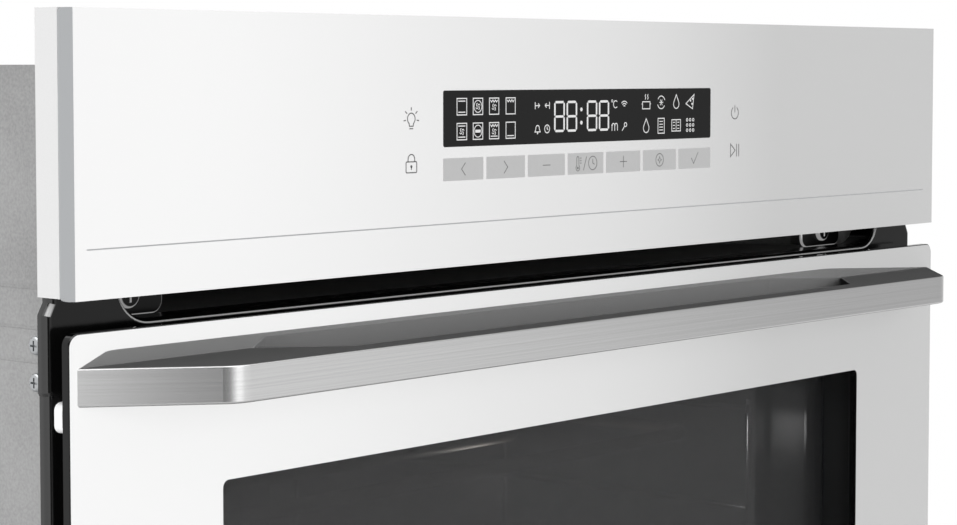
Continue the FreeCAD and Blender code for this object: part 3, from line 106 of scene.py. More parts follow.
def galvanised_steel():
    """Skin-passed galvanised sheet: a matt zinc grey with a fine even grain and faint rolled clouds."""
    material, tree, place = start_material("galvanised_steel")
    grain = add_node(tree, "ShaderNodeTexNoise", {"Vector": place, "Scale": 1 / SHEET_GRAIN, "Detail": 3.0})
    cloud = add_node(tree, "ShaderNodeTexNoise", {"Vector": place, "Scale": 1 / SHEET_CLOUD, "Detail": 2.0})
    mottle = add_node(
        tree, "ShaderNodeMath", {0: grain.outputs["Fac"], 1: cloud.outputs["Fac"]}, operation="ADD"
    )
    tone = add_node(
        tree, "ShaderNodeMapRange", {"Value": mottle.outputs[0], "From Min": 0.6, "From Max": 1.4}
    )
    base = add_node(
        tree,
        "ShaderNodeMixRGB",
        {"Fac": tone.outputs["Result"], "Color1": colour("#8c8c8c"), "Color2": colour("#ababab")},
    )
    bump = add_node(
        tree,
        "ShaderNodeBump",
        {"Height": grain.outputs["Fac"], "Strength": 0.12, "Distance": 0.0003},
    )
    inputs = {
        "Base Color": base.outputs["Color"],
        "Metallic": 0.3,
        "Roughness": 0.6,
        "Normal": bump.outputs["Normal"],
    }
    return end_material(material, inputs)


casing_steel = galvanised_steel()
finish_nodes(
    casing_steel,
    "left_side_panel",
    "right_side_panel",
    "top_cover",
    "rear_cover",
    "base_plate",
    "air_duct",
    "cooling_fan_housing",
)

# ------------------------------------------------------------------ screws, hinges and brackets
# Pressed and turned steel parts with a bright zinc plating. They look pale and slightly cloudy, with small
# scratches from the press tools.


def zinc_plated_steel():
    material, tree, place = start_material("zinc_plated_steel")
    cloud = add_node(tree, "ShaderNodeTexNoise", {"Vector": place, "Scale": 180.0, "Detail": 5.0})
    tone = two_tones(tree, cloud.outputs["Fac"], "#8d8f91", "#c4c6c8")
    rough = add_node(
        tree,
        "ShaderNodeMapRange",
        {"Value": cloud.outputs["Fac"], "To Min": 0.22, "To Max": 0.42},
    )
    inputs = {"Base Color": tone.outputs["Color"], "Metallic": 1.0, "Roughness": rough.outputs["Result"]}
    return end_material(material, inputs)


zinc_steel = zinc_plated_steel()
finish_nodes(
    zinc_steel,
    "side_screws",
    "rear_screws",
    "left_hinge_arm",
    "right_hinge_arm",
    "left_hinge_receiver",
    "right_hinge_receiver",
    "left_hinge_channel",
    "right_hinge_channel",
    "left_hinge_plunger",
    "right_hinge_plunger",
    "hinge_pins",
    "hinge_springs",
    "handle_screws",
    "convection_motor",
    "cooling_motor",
)

# ------------------------------------------------------------------ front frame
# One deep-drawn steel pressing, enamelled black and fired. The glassy coat is very glossy and softens every
# edge, with a slight orange-peel ripple. A pale line along the lower edge of the air slot is a painted
# highlight.


def turned_away(tree, axis, least, most):
    """How far a face turns from one axis of the world: 0 while it still looks along it, 1 once well past."""
    facing = add_node(tree, "ShaderNodeNewGeometry")
    parts = add_node(tree, "ShaderNodeSeparateXYZ", {"Vector": facing.outputs["Normal"]})
    along = add_node(tree, "ShaderNodeMath", {0: parts.outputs[axis]}, operation="ABSOLUTE")
    share = add_node(
        tree, "ShaderNodeMapRange", {"Value": along.outputs[0], "From Min": least, "From Max": most}
    )
    return share.outputs["Result"]


FRONT_FACING = -0.5
SLOT_LEVEL = 0.478


def painted_slot_highlight_mask(tree):
    """How far a rounded front edge has turned upwards, for the edges at the height of the air slot: the mask
    of a painted highlight.
    """
    facing = add_node(tree, "ShaderNodeNewGeometry")
    parts = add_node(tree, "ShaderNodeSeparateXYZ", {"Vector": facing.outputs["Normal"]})
    place = add_node(tree, "ShaderNodeSeparateXYZ", {"Vector": facing.outputs["Position"]})
    ahead = add_node(tree, "ShaderNodeMath", {0: parts.outputs["Y"], 1: FRONT_FACING}, operation="LESS_THAN")
    high = add_node(tree, "ShaderNodeMath", {0: place.outputs["Z"], 1: SLOT_LEVEL}, operation="GREATER_THAN")
    chosen = add_node(tree, "ShaderNodeMath", {0: ahead.outputs[0], 1: high.outputs[0]}, operation="MULTIPLY")
    turn = add_node(
        tree, "ShaderNodeMath", {0: parts.outputs["Z"], 1: chosen.outputs[0]}, operation="MULTIPLY"
    )
    return turn.outputs[0]


def black_enamel_with_painted_slot_highlight():
    """Flat areas take little light; the pressed edges mirror it, and a pale painted highlight lines the lower
    edge of the slot.
    """
    material, tree, place = start_material("black_vitreous_enamel_with_painted_slot_highlight")
    ripple = add_node(tree, "ShaderNodeTexNoise", {"Vector": place, "Scale": 120.0, "Detail": 2.0})
    bump = add_node(
        tree,
        "ShaderNodeBump",
        {"Height": ripple.outputs["Fac"], "Strength": 0.05, "Distance": 0.0008},
    )
    tone = two_tones(tree, ripple.outputs["Fac"], "#040404", "#090909")
    edge = turned_away(tree, "Y", 0.97, 0.8)
    gloss = add_node(tree, "ShaderNodeMapRange", {"Value": edge, "To Min": 0.22, "To Max": 0.7})
    # Painted highlight: upward-turned front faces at the slot's height are mixed to pale grey.
    slot_edge_painted_highlight = add_node(tree, "ShaderNodeValToRGB", {"Fac": painted_slot_highlight_mask(tree)})
    slot_edge_painted_highlight.color_ramp.elements[0].position = 0.12
    slot_edge_painted_highlight.color_ramp.elements[0].color = (0.0, 0.0, 0.0, 1.0)
    slot_edge_painted_highlight.color_ramp.elements[1].position = 0.46
    slot_edge_painted_highlight.color_ramp.elements[1].color = (0.0, 0.0, 0.0, 1.0)
    for position in (0.22, 0.36):
        slot_edge_painted_highlight.color_ramp.elements.new(position).color = (1.0, 1.0, 1.0, 1.0)
    bright = add_node(
        tree,
        "ShaderNodeMixRGB",
        {"Fac": slot_edge_painted_highlight.outputs["Color"], "Color1": tone.outputs["Color"], "Color2": colour("#d4d4d4")},
    )
    inputs = {
        "Base Color": bright.outputs["Color"],
        "Roughness": 0.14,
        "IOR": 1.5,
        "Specular IOR Level": gloss.outputs["Result"],
        "Normal": bump.outputs["Normal"],
    }
    return end_material(material, inputs)


finish_nodes(black_enamel_with_painted_slot_highlight(), "front_frame")

# ------------------------------------------------------------------ fascia brackets
# Two folded tabs behind the air slot, e-coated black after stamping, each with a domed screw. The coat is
# thin on the sheared rims, so bright steel outlines them; a weak glow stands in for the glint they take.


PAINTED_RIM_GLINT = 0.25


def coat_with_painted_rim_glint():
    material, tree, place = start_material("e_coated_steel_with_painted_rim_glint")
    speck = add_node(tree, "ShaderNodeTexNoise", {"Vector": place, "Scale": 300.0, "Detail": 3.0})
    edge = turned_away(tree, "Y", 0.98, 0.85)
    glint = add_node(tree, "ShaderNodeMapRange", {"Value": edge, "To Max": PAINTED_RIM_GLINT})
    coat = two_tones(tree, speck.outputs["Fac"], "#060606", "#0d0d0d")
    tone = add_node(
        tree,
        "ShaderNodeMixRGB",
        {"Fac": edge, "Color1": coat.outputs["Color"], "Color2": colour("#d0d0d0")},
    )
    inputs = {
        "Base Color": tone.outputs["Color"],
        "Metallic": edge,
        "Roughness": 0.3,
        "Specular IOR Level": 0.2,
        # Painted highlight: a weak white emission on the rims stands in for their glint.
        "Emission Color": colour("#ffffff"),
        "Emission Strength": glint.outputs["Result"],
    }
    return end_material(material, inputs)


finish_nodes(coat_with_painted_rim_glint(), "fascia_brackets")

# ------------------------------------------------------------------ cavity, tray and fan cover
# Pressed steel with a dark grey ground-coat enamel that is sprayed and fired. Pale flecks of frit stay
# visible in it, and the surface is glossy.

FLECK_SIZE = 0.0016


def flecked_enamel():
    material, tree, place = start_material("flecked_grey_enamel")
    fleck = add_node(tree, "ShaderNodeTexVoronoi", {"Vector": place, "Scale": 1 / FLECK_SIZE})
    fleck_mask = add_node(
        tree,
        "ShaderNodeMapRange",
        {"Value": fleck.outputs["Distance"], "From Min": 0.16, "From Max": 0.10},
    )
    tone = add_node(
        tree,
        "ShaderNodeMixRGB",
        {"Fac": fleck_mask.outputs["Result"], "Color1": colour("#46484a"), "Color2": colour("#8a8c8e")},
    )
    return end_material(material, {"Base Color": tone.outputs["Color"], "Roughness": 0.22, "IOR": 1.5})


finish_nodes(flecked_enamel(), "cavity_liner", "baking_tray", "fan_cover")

# ------------------------------------------------------------------ rack guides and shelf
# Drawn steel wire, spot-welded and chromed. The bright chrome mirrors the light as thin lines.


def chromed_wire():
    material, tree, place = start_material("chromed_wire")
    haze = add_node(tree, "ShaderNodeTexNoise", {"Vector": place, "Scale": 400.0, "Detail": 2.0})
    rough = add_node(
        tree, "ShaderNodeMapRange", {"Value": haze.outputs["Fac"], "To Min": 0.10, "To Max": 0.22}
    )
    inputs = {"Base Color": colour("#d9dadb"), "Metallic": 1.0, "Roughness": rough.outputs["Result"]}
    return end_material(material, inputs)


finish_nodes(chromed_wire(), "left_rack_guide", "right_rack_guide", "wire_shelf")

# ------------------------------------------------------------------ heating elements and probe
# Swaged stainless tube, oxidised to a mottled grey-brown by its own heat.


def heated_steel():
    material, tree, place = start_material("oxidised_stainless_tube")
    stain = add_node(tree, "ShaderNodeTexNoise", {"Vector": place, "Scale": 60.0, "Detail": 6.0})
    tone = two_tones(tree, stain.outputs["Fac"], "#4a4540", "#7d766f")
    return end_material(material, {"Base Color": tone.outputs["Color"], "Metallic": 0.8, "Roughness": 0.48})


finish_nodes(heated_steel(), "grill_element", "bottom_element", "ring_element", "temperature_probe")

# ------------------------------------------------------------------ fans
# The convection fan is stamped and the cooling rotor is rolled, both from aluminium sheet with its plain
# mill finish: pale, soft-edged reflections with faint rolling lines.


def mill_aluminium():
    material, tree, place = start_material("mill_finish_aluminium")
    lines = add_node(tree, "ShaderNodeMapping", {"Vector": place, "Scale": (40.0, 900.0, 900.0)})
    streak = add_node(tree, "ShaderNodeTexNoise", {"Vector": lines.outputs["Vector"], "Scale": 1.0})
    rough = add_node(
        tree, "ShaderNodeMapRange", {"Value": streak.outputs["Fac"], "To Min": 0.28, "To Max": 0.45}
    )
    inputs = {"Base Color": colour("#c8c9ca"), "Metallic": 1.0, "Roughness": rough.outputs["Result"]}
    return end_material(material, inputs)


finish_nodes(mill_aluminium(), "convection_fan", "cooling_rotor")

# ------------------------------------------------------------------ insulation and lamp holder
# Blankets of glass wool wrap the cavity: matt yellow-brown fibres in all directions. The lamp sits in a
# dry-pressed steatite holder, chalky and slightly grainy.


def glass_wool():
    material, tree, place = start_material("glass_wool")
    fibre = add_node(tree, "ShaderNodeMapping", {"Vector": place, "Scale": (60.0, 420.0, 260.0)})
    strands = add_node(
        tree, "ShaderNodeTexNoise", {"Vector": fibre.outputs["Vector"], "Scale": 1.0, "Detail": 8.0}
    )
    tone = two_tones(tree, strands.outputs["Fac"], "#8d7d52", "#d8cc9f")
    bump = add_node(
        tree, "ShaderNodeBump", {"Height": strands.outputs["Fac"], "Strength": 0.8, "Distance": 0.003}
    )
    inputs = {"Base Color": tone.outputs["Color"], "Roughness": 0.95, "Normal": bump.outputs["Normal"]}
    return end_material(material, inputs)


def steatite():
    material, tree, place = start_material("steatite_ceramic")
    grit = add_node(tree, "ShaderNodeTexNoise", {"Vector": place, "Scale": 700.0, "Detail": 4.0})
    tone = two_tones(tree, grit.outputs["Fac"], "#cfc8b8", "#eee9dd")
    return end_material(material, {"Base Color": tone.outputs["Color"], "Roughness": 0.7})


finish_nodes(glass_wool(), "insulation")
finish_nodes(steatite(), "lamp_holder")

# ------------------------------------------------------------------ seal
# Extruded silicone tube, pressed against the inner door glass. It is matt and picks up a little dust.


def silicone_rubber():
    material, tree, place = start_material("silicone_rubber")
    dust = add_node(tree, "ShaderNodeTexNoise", {"Vector": place, "Scale": 500.0, "Detail": 3.0})
    tone = two_tones(tree, dust.outputs["Fac"], "#161616", "#262626")
    return end_material(material, {"Base Color": tone.outputs["Color"], "Roughness": 0.75})


finish_nodes(silicone_rubber(), "cavity_seal")

# ------------------------------------------------------------------ black moulded parts
# Glass-filled nylon and PBT mouldings with a fine spark-eroded texture: trims, columns, housing and gland.

SPARK_TEXTURE = 0.0006


def moulded_plastic(name, dark, light, roughness):
    material, tree, place = start_material(name)
    texture = add_node(
        tree, "ShaderNodeTexNoise", {"Vector": place, "Scale": 1 / SPARK_TEXTURE, "Detail": 2.0}
    )
    tone = two_tones(tree, texture.outputs["Fac"], dark, light)
    bump = add_node(
        tree, "ShaderNodeBump", {"Height": texture.outputs["Fac"], "Strength": 0.15, "Distance": 0.0002}
    )
    inputs = {
        "Base Color": tone.outputs["Color"],
        "Roughness": roughness,
        "IOR": 1.53,
        "Normal": bump.outputs["Normal"],
    }
    return end_material(material, inputs)


black_nylon = moulded_plastic("black_glass_filled_nylon", "#0b0b0b", "#161616", 0.5)
white_abs = moulded_plastic("white_moulded_abs", "#f1f1f1", "#f7f7f7", 0.35)
finish_nodes(
    black_nylon,
    "fascia_housing",
    "door_top_trim",
    "door_bottom_trim",
    "left_door_column",
    "right_door_column",
    "cable_gland",
    "thermal_cutout",
    "display_module",
)
finish_nodes(white_abs, "glass_bumpers", "terminal_block")
finish_nodes(moulded_plastic("satin_end_cap_abs", "#d8d8d8", "#dfdfdf", 0.4), "left_end_cap", "right_end_cap")

# ------------------------------------------------------------------ circuit boards
# Glass-epoxy laminate under a green solder mask, with the copper tracks as slightly paler lines.


def circuit_board():
    material, tree, place = start_material("solder_mask_laminate")
    turned = add_node(tree, "ShaderNodeMapping", {"Vector": place, "Rotation": (math.radians(90), 0, 0)})
    tracks = add_node(
        tree,
        "ShaderNodeTexBrick",
        {
            "Vector": turned.outputs["Vector"],
            "Color1": colour("#12402a"),
            "Color2": colour("#164a31"),
            "Mortar": colour("#2a6b4a"),
            "Scale": 60.0,
        },
    )
    return end_material(material, {"Base Color": tracks.outputs["Color"], "Roughness": 0.35})


finish_nodes(circuit_board(), "touch_board", "power_board")

# ------------------------------------------------------------------ control panel glass
# A pane of 4 mm float glass, enamelled white and highly polished; it mirrors the room like a gloss tile. Its
# two ends are ground to 45 degrees, and the grey of the ground strip is a painted shade for the dark seen
# through the bare glass.

MIRROR_SHARE = 0.75


def white_enamelled_glass(name, painted_edge_shade, edge_from, edge_to):
    """White enamel on float glass. Faces turned off the front, such as a bevel, lose the enamel and the
    mirror and take a flat painted shade for the bare glass.
    """
    material, tree, place = start_material(name)
    waver = add_node(tree, "ShaderNodeTexNoise", {"Vector": place, "Scale": 3.0, "Detail": 1.0})
    white = two_tones(tree, waver.outputs["Fac"], "#f6f6f6", "#f9f9f9")
    edge = turned_away(tree, "Y", edge_from, edge_to)
    # Painted shade: faces turned off the front are mixed to a flat grey or near black for the bare glass.
    base = add_node(
        tree,
        "ShaderNodeMixRGB",
        {"Fac": edge, "Color1": white.outputs["Color"], "Color2": colour(painted_edge_shade)},
    )
    mirror = add_node(tree, "ShaderNodeMapRange", {"Value": edge, "To Min": MIRROR_SHARE, "To Max": 0.0})
    inputs = {
        "Base Color": base.outputs["Color"],
        "Metallic": mirror.outputs["Result"],
        "Roughness": 0.03,
        "IOR": 1.52,
        "Specular IOR Level": 0.2,
    }
    return end_material(material, inputs)


panel_low, panel_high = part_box("fascia_glass")
finish_nodes(white_enamelled_glass("white_enamelled_panel_glass_with_painted_bevel_shade", "#aeb0b2", 0.95, 0.8), "fascia_glass")

# ------------------------------------------------------------------ display and printed signs
# The display is a dark window in the enamel, with light-grey segments behind it; the seven touch fields and
# the signs beside it are screen-printed inks. Each print is a layer a few hundredths of a millimetre thick.

MM = 0.001
PRINT_LAYER = 0.00004
panel_front = panel_low.y


def arc(x, z, radius, start, end, steps=12):
    """Points on an arc, in degrees from +x towards +z."""
    turn = [math.radians(start + (end - start) * step / steps) for step in range(steps + 1)]
    return [(x + radius * math.cos(a), z + radius * math.sin(a)) for a in turn]


def circle(x, z, radius):
    return arc(x, z, radius, 0, 360, 24)[:-1]


class Print:
    """A flat layer of ink on the panel, drawn in millimetres from the middle of the panel's lower edge."""

    def __init__(self, layer=1):
        self.mesh = bmesh.new()
        self.back = panel_front - (layer - 1) * PRINT_LAYER
        self.front = panel_front - layer * PRINT_LAYER

    def corner(self, point, y):
        return self.mesh.verts.new((point[0] * MM, y, point[1] * MM))

    def wall(self, front, back, closed):
        count = len(front)
        for index in range(count if closed else count - 1):
            after = (index + 1) % count
            self.mesh.faces.new((front[index], front[after], back[after], back[index]))

    def fill(self, points):
        """A filled outline."""
        front = [self.corner(point, self.front) for point in points]
        back = [self.corner(point, self.back) for point in points]
        self.mesh.faces.new(front)
        self.mesh.faces.new(back[::-1])
        self.wall(front, back, True)

    def line(self, points, width, closed=False):
        """A line of one width with mitred bends."""
        count = len(points)
        sides = ([], [])
        for index, (x, z) in enumerate(points):
            before = points[index - 1] if index or closed else (2 * x - points[1][0], 2 * z - points[1][1])
            after = points[(index + 1) % count]
            if index == count - 1 and not closed:
                after = (2 * x - points[-2][0], 2 * z - points[-2][1])
            run_in = Vector((x - before[0], z - before[1])).normalized()
            run_out = Vector((after[0] - x, after[1] - z)).normalized()
            normal = Vector((-(run_in.y + run_out.y), run_in.x + run_out.x))
            normal = normal.normalized() if normal.length > 0.01 else Vector((-run_in.y, run_in.x))
            square = max(0.4, normal.dot(Vector((-run_in.y, run_in.x))))
            offset = normal * (width / 2 / square)
            sides[0].append((x + offset.x, z + offset.y))
            sides[1].append((x - offset.x, z - offset.y))
        rows = []
        for side in sides:
            rows.append([self.corner(point, self.front) for point in side])
            rows.append([self.corner(point, self.back) for point in side])
        steps = count if closed else count - 1
        for index in range(steps):
            after = (index + 1) % count
            for one, other in ((0, 2), (3, 1), (1, 0), (2, 3)):
                near, far = rows[one], rows[other]
                self.mesh.faces.new((near[index], near[after], far[after], far[index]))
        if not closed:
            for index in (0, count - 1):
                self.mesh.faces.new((rows[0][index], rows[2][index], rows[3][index], rows[1][index]))

    def finish(self, name, material):
        bmesh.ops.recalc_face_normals(self.mesh, faces=self.mesh.faces)
        data = bpy.data.meshes.new(name)
        self.mesh.to_mesh(data)
        self.mesh.free()
        data.materials.append(material)
        piece = bpy.data.objects.new(name, data)
        bpy.context.scene.collection.objects.link(piece)
        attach(piece, "casing")
        return piece


def rounded_rectangle(left, right, low, high, radius, steps=6):
    points = []
    for x, z, start in (
        (right - radius, high - radius, 0),
        (left + radius, high - radius, 90),
        (left + radius, low + radius, 180),
        (right - radius, low + radius, 270),
    ):
        points += arc(x, z, radius, start, start + 90, steps)
    return points


def screen_ink(name, code, roughness=0.4, glow=0.0, gloss=0.5):
    """Printed ink: flat colour with the slight grain of the screen's mesh."""
    material, tree, place = start_material(name)
    weave = add_node(tree, "ShaderNodeTexNoise", {"Vector": place, "Scale": 1500.0})
    tone = add_node(
        tree,
        "ShaderNodeHueSaturation",
        {"Color": colour(code), "Value": 1.0},
    )
    value = add_node(
        tree, "ShaderNodeMapRange", {"Value": weave.outputs["Fac"], "To Min": 0.97, "To Max": 1.03}
    )
    tree.links.new(value.outputs["Result"], tone.inputs["Value"])
    inputs = {
        "Base Color": tone.outputs["Color"],
        "Roughness": roughness,
        "Specular IOR Level": gloss,
        "Emission Color": colour(code),
        "Emission Strength": glow,
    }
    return end_material(material, inputs)


display_low, display_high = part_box("display_module")
display_left, display_right = display_low.x / MM, display_high.x / MM
display_bottom, display_top = display_low.z / MM, display_high.z / MM

lens_print = Print()
lens_print.fill(rounded_rectangle(display_left, display_right, display_bottom, display_top, 1.0))
lens_print.finish("display_window", screen_ink("display_window_ink", "#0f0f0f", 0.08, 0.0, 0.17))

# The touch fields: seven equal light-grey fields under the display, with narrow gaps.
FIELD_COUNT = 7
FIELD_GAP = 2.0
FIELD_HEIGHT = 9.4
FIELD_TOP = display_bottom - 4.6
field_pitch = (display_right - display_left + FIELD_GAP) / FIELD_COUNT
field_middle_z = FIELD_TOP - FIELD_HEIGHT / 2
field_x = [display_left + field_pitch * index + (field_pitch - FIELD_GAP) / 2 for index in range(FIELD_COUNT)]
fields = Print()
for x in field_x:
    half = (field_pitch - FIELD_GAP) / 2
    fields.fill(rounded_rectangle(x - half, x + half, FIELD_TOP - FIELD_HEIGHT, FIELD_TOP, 0.4))
fields.finish("touch_fields", screen_ink("touch_field_ink", "#d3d3d3", 0.2))


def clock(ink, x, z, size, width):
    ink.line(circle(x, z, size / 2), width, True)
    ink.line([(x, z + size * 0.3), (x, z), (x + size * 0.22, z - size * 0.1)], width)


SIGN_LINE = 0.38
signs = Print(2)
# back and forward
for x, way in ((field_x[0], -1), (field_x[1], 1)):
    signs.line(
        [
            (x - way * 1.2, field_middle_z + 2.6),
            (x + way * 1.2, field_middle_z),
            (x - way * 1.2, field_middle_z - 2.6),
        ],
        SIGN_LINE,
    )
# less and more
signs.line([(field_x[2] - 2.6, field_middle_z), (field_x[2] + 2.6, field_middle_z)], SIGN_LINE)
signs.line([(field_x[4] - 2.6, field_middle_z), (field_x[4] + 2.6, field_middle_z)], SIGN_LINE)
signs.line([(field_x[4], field_middle_z - 2.6), (field_x[4], field_middle_z + 2.6)], SIGN_LINE)
# thermometer and clock
bulb_x = field_x[3] - 5.6
signs.line(
    arc(bulb_x, field_middle_z - 1.9, 1.3, 125, 415, 14) + arc(bulb_x, field_middle_z + 2.4, 0.75, 0, 180, 6),
    SIGN_LINE,
    True,
)
signs.fill(circle(bulb_x, field_middle_z - 1.9, 0.6))
for step in range(3):
    mark = field_middle_z + 0.2 + step * 1.1
    signs.line([(bulb_x + 1.5, mark), (bulb_x + 2.6, mark)], SIGN_LINE)
signs.line([(field_x[3] - 1.6, field_middle_z - 3.0), (field_x[3] + 0.6, field_middle_z + 3.0)], SIGN_LINE)
clock(signs, field_x[3] + 5.0, field_middle_z, 6.0, SIGN_LINE)
# automatic programmes: a ring with a star
signs.line(circle(field_x[5], field_middle_z, 2.9), SIGN_LINE, True)
star = []
for step in range(8):
    reach = 1.5 if step % 2 == 0 else 0.6
    angle = math.radians(90 + step * 45)
    star.append((field_x[5] + reach * math.cos(angle), field_middle_z + reach * math.sin(angle)))
signs.line(star, SIGN_LINE * 0.8, True)
# confirm
signs.line(
    [
        (field_x[6] - 2.6, field_middle_z + 0.2),
        (field_x[6] - 0.7, field_middle_z - 2.4),
        (field_x[6] + 2.8, field_middle_z + 2.8),
    ],
    SIGN_LINE,
)
signs.finish("touch_field_signs", screen_ink("grey_sign_ink", "#7c7c7c"))

# The signs to the left and right of the display: light, child lock, power, start and pause.
SIDE_LINE = 0.5
UPPER_SIGN_Z = display_top - 11.9
LOWER_SIGN_Z = field_middle_z + 2.9
LEFT_SIGN_X = display_left - 19.4
RIGHT_SIGN_X = display_right + 20.0
side_signs = Print()
side_signs.line(
    arc(LEFT_SIGN_X, UPPER_SIGN_Z + 0.6, 2.3, -55, 235, 16)
    + [(LEFT_SIGN_X - 1.1, UPPER_SIGN_Z - 2.4), (LEFT_SIGN_X + 1.1, UPPER_SIGN_Z - 2.4)],
    SIDE_LINE,
    True,
)
side_signs.line([(LEFT_SIGN_X - 1.1, UPPER_SIGN_Z - 3.4), (LEFT_SIGN_X + 1.1, UPPER_SIGN_Z - 3.4)], SIDE_LINE)
for step in range(5):
    angle = math.radians(-10 + step * 50)
    inner, outer = 3.3, 4.7
    side_signs.line(
        [
            (LEFT_SIGN_X + inner * math.cos(angle), UPPER_SIGN_Z + 0.6 + inner * math.sin(angle)),
            (LEFT_SIGN_X + outer * math.cos(angle), UPPER_SIGN_Z + 0.6 + outer * math.sin(angle)),
        ],
        SIDE_LINE,
    )
side_signs.line(
    rounded_rectangle(LEFT_SIGN_X - 3.2, LEFT_SIGN_X + 3.2, LOWER_SIGN_Z - 3.4, LOWER_SIGN_Z + 1.0, 0.5, 3),
    SIDE_LINE,
    True,
)
side_signs.line(
    [(LEFT_SIGN_X + 2.0, LOWER_SIGN_Z + 1.0)]
    + arc(LEFT_SIGN_X, LOWER_SIGN_Z + 2.0, 2.0, 0, 180, 10)
    + [(LEFT_SIGN_X - 2.0, LOWER_SIGN_Z + 1.0)],
    SIDE_LINE,
)
side_signs.fill(circle(LEFT_SIGN_X, LOWER_SIGN_Z - 0.9, 0.6))
side_signs.line([(LEFT_SIGN_X, LOWER_SIGN_Z - 0.9), (LEFT_SIGN_X, LOWER_SIGN_Z - 2.3)], SIDE_LINE)
side_signs.line(arc(RIGHT_SIGN_X, UPPER_SIGN_Z, 2.9, 120, 420, 20), SIDE_LINE)
side_signs.line([(RIGHT_SIGN_X, UPPER_SIGN_Z + 0.2), (RIGHT_SIGN_X, UPPER_SIGN_Z + 3.6)], SIDE_LINE)
side_signs.line(
    [
        (RIGHT_SIGN_X - 3.4, LOWER_SIGN_Z + 3.0),
        (RIGHT_SIGN_X + 0.4, LOWER_SIGN_Z),
        (RIGHT_SIGN_X - 3.4, LOWER_SIGN_Z - 3.0),
    ],
    SIDE_LINE,
    True,
)
for step in (1.6, 3.4):
    bar_x = RIGHT_SIGN_X + step
    side_signs.line([(bar_x, LOWER_SIGN_Z - 3.0), (bar_x, LOWER_SIGN_Z + 3.0)], SIDE_LINE)
side_signs.finish("side_signs", bpy.data.materials["grey_sign_ink"])

# A fine printed line runs along the lower edge.
LINE_END = 9.0
LINE_Z = panel_low.z / MM + 18.0
rule = Print()
rule.line([(panel_low.x / MM + LINE_END, LINE_Z), (panel_high.x / MM - LINE_END - 4, LINE_Z)], 0.5)
rule.finish("panel_rule", screen_ink("pale_rule_ink", "#bfc1c2"))

# Display segments and symbols.
SEGMENT_WIDTH = 1.0
SYMBOL_LINE = 0.42
segments = Print(2)
digit_low, digit_high = display_bottom + 4.8, display_top - 5.0
digit_middle = (digit_low + digit_high) / 2
DIGIT_WIDTH = 7.4
COLON_X = display_left + 91.3


def digit_eight(ink, x):
    """All seven segments of one digit, each a bar with pointed ends."""
    half = SEGMENT_WIDTH / 2
    gap = 0.18
    right = x + DIGIT_WIDTH
    for z in (digit_low + half, digit_middle, digit_high - half):
        ink.fill(
            [
                (x + gap + half, z),
                (x + 2 * half + gap, z + half),
                (right - 2 * half - gap, z + half),
                (right - half - gap, z),
                (right - 2 * half - gap, z - half),
                (x + 2 * half + gap, z - half),
            ]
        )
    for side in (x + half, right - half):
        for low, high in ((digit_low + half, digit_middle), (digit_middle, digit_high - half)):
            ink.fill(
                [
                    (side, low + gap),
                    (side + half, low + half + gap),
                    (side + half, high - half - gap),
                    (side, high - gap),
                    (side - half, high - half - gap),
                    (side - half, low + half + gap),
                ]
            )


for x in (COLON_X - 19.0, COLON_X - 10.4, COLON_X + 3.9, COLON_X + 12.5):
    digit_eight(segments, x)
for z in (digit_middle + 2.9, digit_middle - 2.9):
    segments.fill(circle(COLON_X, z, 0.85))

# The eight oven functions, each a small framed sign.
FUNCTION_SIZE = 6.8
FUNCTION_X = [display_left + 11.6 + step for step in (0.0, 10.2, 20.6, 31.4)]
FUNCTION_ROWS = (digit_middle + 5.0, digit_middle - 5.3)


def top_bar(ink, x, z):
    ink.line([(x - 2.2, z + 2.3), (x + 2.2, z + 2.3)], SYMBOL_LINE)


def bottom_bar(ink, x, z):
    ink.line([(x - 2.2, z - 2.3), (x + 2.2, z - 2.3)], SYMBOL_LINE)


def grill_zigzag(ink, x, z):
    points = [(x - 2.4 + 0.8 * step, z + (2.6 if step % 2 == 0 else 1.7)) for step in range(7)]
    ink.line(points, SYMBOL_LINE)


def fan_sign(ink, x, z, size):
    for step in range(4):
        angle = 90 * step + 20
        turn = math.radians(angle)
        centre = (x + size * 0.5 * math.cos(turn), z + size * 0.5 * math.sin(turn))
        ink.line(arc(centre[0], centre[1], size * 0.5, angle - 10, angle + 150, 6), SYMBOL_LINE * 0.8)


def ring_sign(ink, x, z, size):
    ink.line(circle(x, z, size), SYMBOL_LINE * 0.8, True)


function_signs = [
    (FUNCTION_X[0], FUNCTION_ROWS[0], ("top", "bottom")),
    (FUNCTION_X[1], FUNCTION_ROWS[0], ("ring", "fan")),
    (FUNCTION_X[2], FUNCTION_ROWS[0], ("zigzag", "fan")),
    (FUNCTION_X[3], FUNCTION_ROWS[0], ("zigzag",)),
    (FUNCTION_X[0], FUNCTION_ROWS[1], ("top", "fan", "bottom")),
    (FUNCTION_X[1], FUNCTION_ROWS[1], ("ring", "band")),
    (FUNCTION_X[2], FUNCTION_ROWS[1], ("zigzag", "fan", "bottom")),
    (FUNCTION_X[3], FUNCTION_ROWS[1], ("bottom",)),
]
for x, z, marks in function_signs:
    half = FUNCTION_SIZE / 2
    side = half - 0.35
    corners = [(x - side, z - half), (x + side, z - half), (x + side, z + half), (x - side, z + half)]
    segments.line(corners, SYMBOL_LINE, True)
    if "top" in marks:
        top_bar(segments, x, z)
    if "bottom" in marks:
        bottom_bar(segments, x, z)
    if "zigzag" in marks:
        grill_zigzag(segments, x, z)
    if "fan" in marks:
        fan_sign(segments, x, z - (0.4 if "zigzag" in marks else 0.0), 1.4)
    if "ring" in marks:
        ring_sign(segments, x, z, 2.5)
    if "band" in marks:
        segments.fill([(x - 1.7, z - 0.6), (x + 1.7, z - 0.6), (x + 1.7, z + 0.6), (x - 1.7, z + 0.6)])

